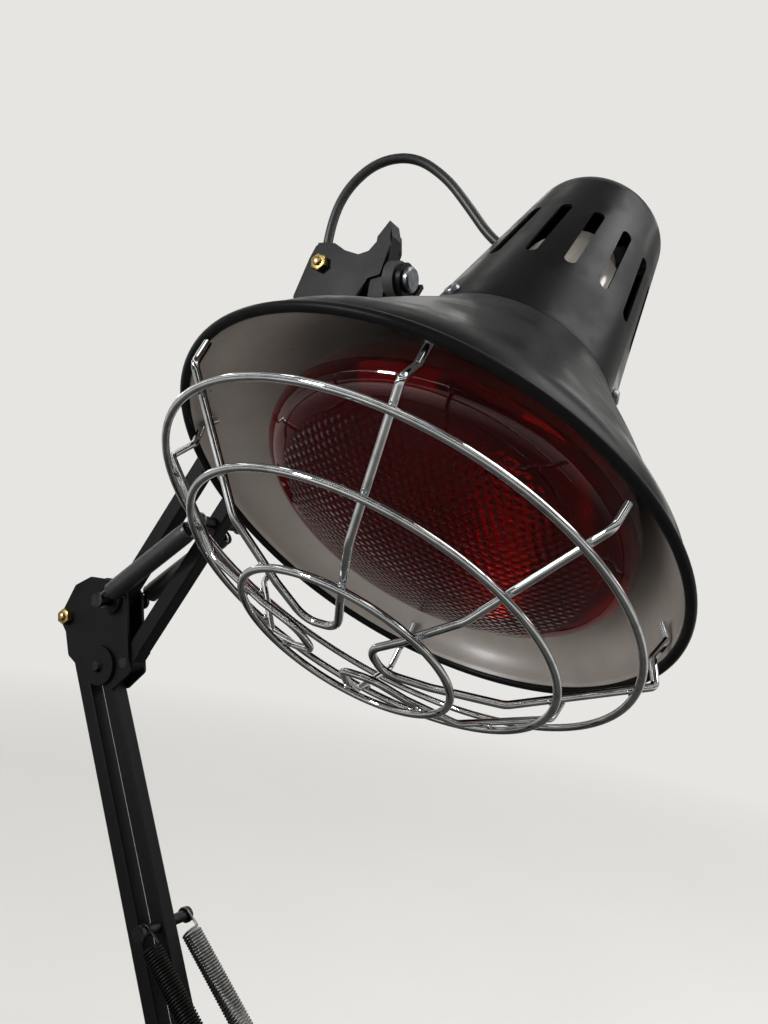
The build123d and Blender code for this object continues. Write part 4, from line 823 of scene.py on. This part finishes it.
# %% Lens
APEX = -8.5
JOIN = 10.0
BULB_STEPS = 128
OUTER_FACE = [(0.0, APEX), (14, APEX + 0.55), (28, APEX + 2.3), (42, APEX + 5.35), (FACE_R, 0.0)]
SHOULDER = [(FACE_R, 0.0), (57.5, 2.0), (60.7, 4.7), (62.2, 7.4), (LENS_R, JOIN)]
INNER_SHOULDER = [(60.0, JOIN), (58.4, 7.0), (55.5, 4.4)]
INNER_FACE = [(0.0, APEX + 2.5), (14, APEX + 3.05), (28, APEX + 4.8), (42, APEX + 7.8), (52, 2.5)]
outside = smooth_run(OUTER_FACE, 8) + smooth_run(SHOULDER, 5)[1:]
face_skin = turn_on_lathe(outside + INNER_SHOULDER + smooth_run(INNER_FACE, 6)[::-1], BULB_STEPS, closed=True)
face_glass = finish_piece(face_skin, "bulb_face_glass", "lamp", [glass.material], BULB)
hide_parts("bulb_lens")
print("face", len(face_glass.data.polygons), "faces")

# %% [markdown]
# ## Silvered bowl
# The bowl is the same red glass with a mirror of aluminium evaporated inside, so from outside it reads as a
# dark red mirror. A metal with a red tint and a clear coat does that with one shader, and keeps the inside
# bright for the face in front of it.

# %% Bowl and its finishes
silvered = start_finish(
    "silvered_red_glass", Metallic=1.0, Roughness=0.12, Coat_Weight=1.0, Coat_Roughness=0.04,
)
lay_tint(silvered, blobs(18, 3), (0.35, 0.7), "#8a1216", "#6d0c10")
mirror = start_finish("evaporated_aluminium", Metallic=1.0, Roughness=0.08)
lay_tint(mirror, blobs(12, 3), (0.4, 0.7), "#8f8c8a", "#6f6c6a")
OUTER_BOWL = [(LENS_R, JOIN), (61.0, 18), (54, 31), (43.5, 46), (32, 61), (21, 76), (16, 87)]
INNER_BOWL = [
    (60.9, JOIN), (59.4, 17.6), (52.6, 30.1), (42.2, 45.1), (30.7, 60.1), (19.7, 75.1), (14.4, 86.7),
]
BOWL_FOOT = [(14, 92), (0, 92), (0, 90.4)]
bowl_profile = smooth_run(OUTER_BOWL, 8) + BOWL_FOOT + smooth_run(INNER_BOWL, 6)[::-1]
bowl = turn_on_lathe(bowl_profile, BULB_STEPS, closed=True)
bmesh.ops.recalc_face_normals(bowl, faces=bowl.faces)
for face in bowl.faces:
    centre = face.calc_center_median()
    outward = Vector((centre.x, centre.y, -20 * MM)).normalized()
    face.material_index = 1 if face.normal.dot(outward) < -0.2 else 0
bowl = finish_piece(bowl, "bulb_silvered_bowl", "lamp", [silvered.material, mirror.material], BULB)
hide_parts("bulb_reflector")
print("bowl", len(bowl.data.polygons), "faces")

# %% [markdown]
# ## Welds on the guard
# Where a hairpin's leg crosses a ring the two wires are spot welded. The metal flows into a small smooth
# nugget between them. Each is a squashed ball at the midpoint between the wires, laid along the ring.

# %% Weld nuggets
RINGS = ((79.6, -19.4), (61.1, -32.9), (34.7, -45.0))
LEG_LINE = ((84.0, -13.2), (49.0, -38.7), (28.0, -44.3), (14.5, -46.7))
FIRST_LEG, LEG_SPREAD = 20.5, 48.5
LEG_ANGLES = [FIRST_LEG + 90 * i - apart for apart in (0, LEG_SPREAD) for i in range(4)]
WELD_R = 1.15
SQUASH = Matrix.Diagonal((1.7, 1.0, 0.8, 1))
welds = bmesh.new()
for ring_at in RINGS:
    centre = Vector((*ring_at, 0))
    near = None
    for a, b in zip(LEG_LINE, LEG_LINE[1:]):
        foot, share = intersect_point_line(centre, Vector((*a, 0)), Vector((*b, 0)))
        if 0 <= share <= 1 and (near is None or (foot - centre).length < (near - centre).length):
            near = foot
    middle = (centre + near) / 2
    for angle in LEG_ANGLES:
        a = radians(angle)
        outward = Vector((cos(a), sin(a), 0))
        at = (outward * middle.x + Vector((0, 0, middle.y))) * MM
        seat = placed(at, Vector((-sin(a), cos(a), 0)), Vector((0, 0, 1)))
        bmesh.ops.create_icosphere(welds, subdivisions=2, radius=WELD_R * MM, matrix=HEAD @ seat @ SQUASH)
welds = finish_piece(welds, "guard_weld_nuggets", "lamp", [chrome])
print(len(RINGS) * len(LEG_ANGLES), "welds")

# %% [markdown]
# ## Floor
# The lamp stands on a plain pale floor that fades into a pale wall, with no line between them. Far from the
# lamp the floor shows the wall's colour to the camera, and near it the floor is real and keeps the shadow.
# Mirrors are another matter: the chrome and the bulb's face look straight down at the floor, and a pale one
# would wash them out. So close to the lamp the floor is painted dark for reflections only, a painted shade
# like that of a shaded table top.

# %% Floor
WALL = "#e6e5e2"
FLOOR_R = 3.0
slab = start_finish("pale_floor", Roughness=0.7)
pale = lay_tint(slab, blobs(300, 3), (0.3, 0.7), WALL, "#e2e1de")
ray = add(slab.tree, "ShaderNodeLightPath").outputs
away = add(slab.tree, "ShaderNodeVectorMath", {0: slab.point}, operation="LENGTH").outputs["Value"]
near = add(slab.tree, "ShaderNodeMapRange", {"Value": away, 1: 0.45, 2: 1.2, 3: 1, 4: 0}).outputs[0]
# Close to the lamp, glossy rays see the floor in a painted shade of #3a3835.
painted_shade_share = add(slab.tree, "ShaderNodeMath", {0: near, 1: ray["Is Glossy Ray"]}, operation="MULTIPLY").outputs[0]
shades = {0: painted_shade_share, 6: pale, 7: linear("#3a3835")}
seen = add(slab.tree, "ShaderNodeMix", shades, data_type="RGBA").outputs[2]
slab.tree.links.new(seen, slab.shader.inputs["Base Color"])
far = add(slab.tree, "ShaderNodeMapRange", {"Value": away, 1: 0.5, 2: 1.5}).outputs[0]
faded = add(slab.tree, "ShaderNodeMath", {0: far, 1: ray["Is Camera Ray"]}, operation="MULTIPLY").outputs[0]
haze = add(slab.tree, "ShaderNodeEmission", {"Color": linear(WALL), "Strength": 1.0}).outputs[0]
layers = {0: faded, 1: slab.shader.outputs[0], 2: haze}
joined = add(slab.tree, "ShaderNodeMixShader", layers).outputs[0]
slab.tree.links.new(joined, slab.tree.nodes["Material Output"].inputs["Surface"])
ground = bmesh.new()
bmesh.ops.create_circle(ground, cap_ends=True, segments=96, radius=FLOOR_R)
floor = finish_piece(ground, "floor", None, [slab.material])
print("floor", round(floor.dimensions.x, 1), "m across")

# %% [markdown]
# ## Room and lamps
# The room is a world of one pale colour whose strength depends on the kind of ray. The camera sees the wall
# as it is. Mirrors see a pale wall behind the lamp, a dimmer room in front of it, and thin bright bands
# overhead like rows of ceiling tubes, which give the wire its sharp bright and dark lines. Matt surfaces get
# an even soft light. A large lamp above and to the right draws the long highlight down the bell, a second
# one fills the front without a reflection of its own, and a small one only sparks in the glass and metal.

# %% Room light
WALL_WAY = (-0.48, 0.87, 0.1)
TUBE_LEVELS = ((0, 0), (0.2, 1), (0.24, 0), (0.5, 1), (0.55, 0), (0.8, 1), (0.84, 0))
TUBE_POWER = 3.4
MATT_LEVEL = 0.6
room = bpy.data.worlds.new("pale_room")
bpy.context.scene.world = room
room.use_nodes = True
tree = room.node_tree
tree.nodes.clear()
rays = add(tree, "ShaderNodeLightPath").outputs
way = add(tree, "ShaderNodeTexCoord").outputs["Generated"]
towards = add(tree, "ShaderNodeVectorMath", {0: way, 1: WALL_WAY}, operation="DOT_PRODUCT").outputs["Value"]
wall = add(tree, "ShaderNodeMapRange", {"Value": towards, 1: -0.35, 2: 0.6, 3: 0.06, 4: 0.6}).outputs[0]
height = add(tree, "ShaderNodeSeparateXYZ", {0: way}).outputs[2]
tubes = add(tree, "ShaderNodeValToRGB", {0: height})
tubes.color_ramp.interpolation = "CONSTANT"
for at, level in TUBE_LEVELS:
    stop = tubes.color_ramp.elements[0] if at == 0 else tubes.color_ramp.elements.new(at)
    stop.color = (level, level, level, 1)
tubes.color_ramp.elements.remove(tubes.color_ramp.elements[-1])
lit = {0: tubes.outputs[0], 1: TUBE_POWER, 2: wall}
mirrored = add(tree, "ShaderNodeMath", lit, operation="MULTIPLY_ADD").outputs[0]
either = {0: rays["Is Glossy Ray"], 1: rays["Is Transmission Ray"]}
shiny = add(tree, "ShaderNodeMath", either, operation="MAXIMUM").outputs[0]
level = add(tree, "ShaderNodeMix", {0: shiny, 2: MATT_LEVEL, 3: mirrored}).outputs[0]
level = add(tree, "ShaderNodeMix", {0: rays["Is Camera Ray"], 2: level, 3: 1.0}).outputs[0]
glow = add(tree, "ShaderNodeBackground", {"Color": linear(WALL), "Strength": level})
add(tree, "ShaderNodeOutputWorld", {"Surface": glow.outputs[0]})
print("room of one colour with", len(TUBE_LEVELS) // 2, "rows of tubes")

# %% Lamps
HEAD_AT = (0.05, -0.05, 0.35)
BULB_AT = (0.09, -0.07, 0.35)


def soft_lamp(name, at, aim, width, power):
    """A square studio lamp at a place, turned to face another."""
    light = bpy.data.lights.new(name, "AREA")
    light.size = width
    light.energy = power
    lamp = bpy.data.objects.new(name, light)
    bpy.context.collection.objects.link(lamp)
    lamp.location = at
    lamp.rotation_euler = (Vector(aim) - Vector(at)).to_track_quat("-Z", "Y").to_euler()
    return lamp


key = soft_lamp("key_lamp", (0.9, 0.3, 1.4), HEAD_AT, 0.9, 18)
fill = soft_lamp("fill_lamp", (-0.5, -1.3, 0.5), HEAD_AT, 1.0, 11)
fill.visible_glossy = False
spark = soft_lamp("spark_lamp", (-0.57, -1.27, 0.73), BULB_AT, 0.22, 20)
spark.visible_diffuse = False
print([(lamp.name, lamp.data.energy) for lamp in (key, fill, spark)])

# %% [markdown]
# ## Finish
# Plain colour handling keeps each hex value as it was written.

# %% Finish
bpy.context.scene.view_settings.view_transform = "Standard"
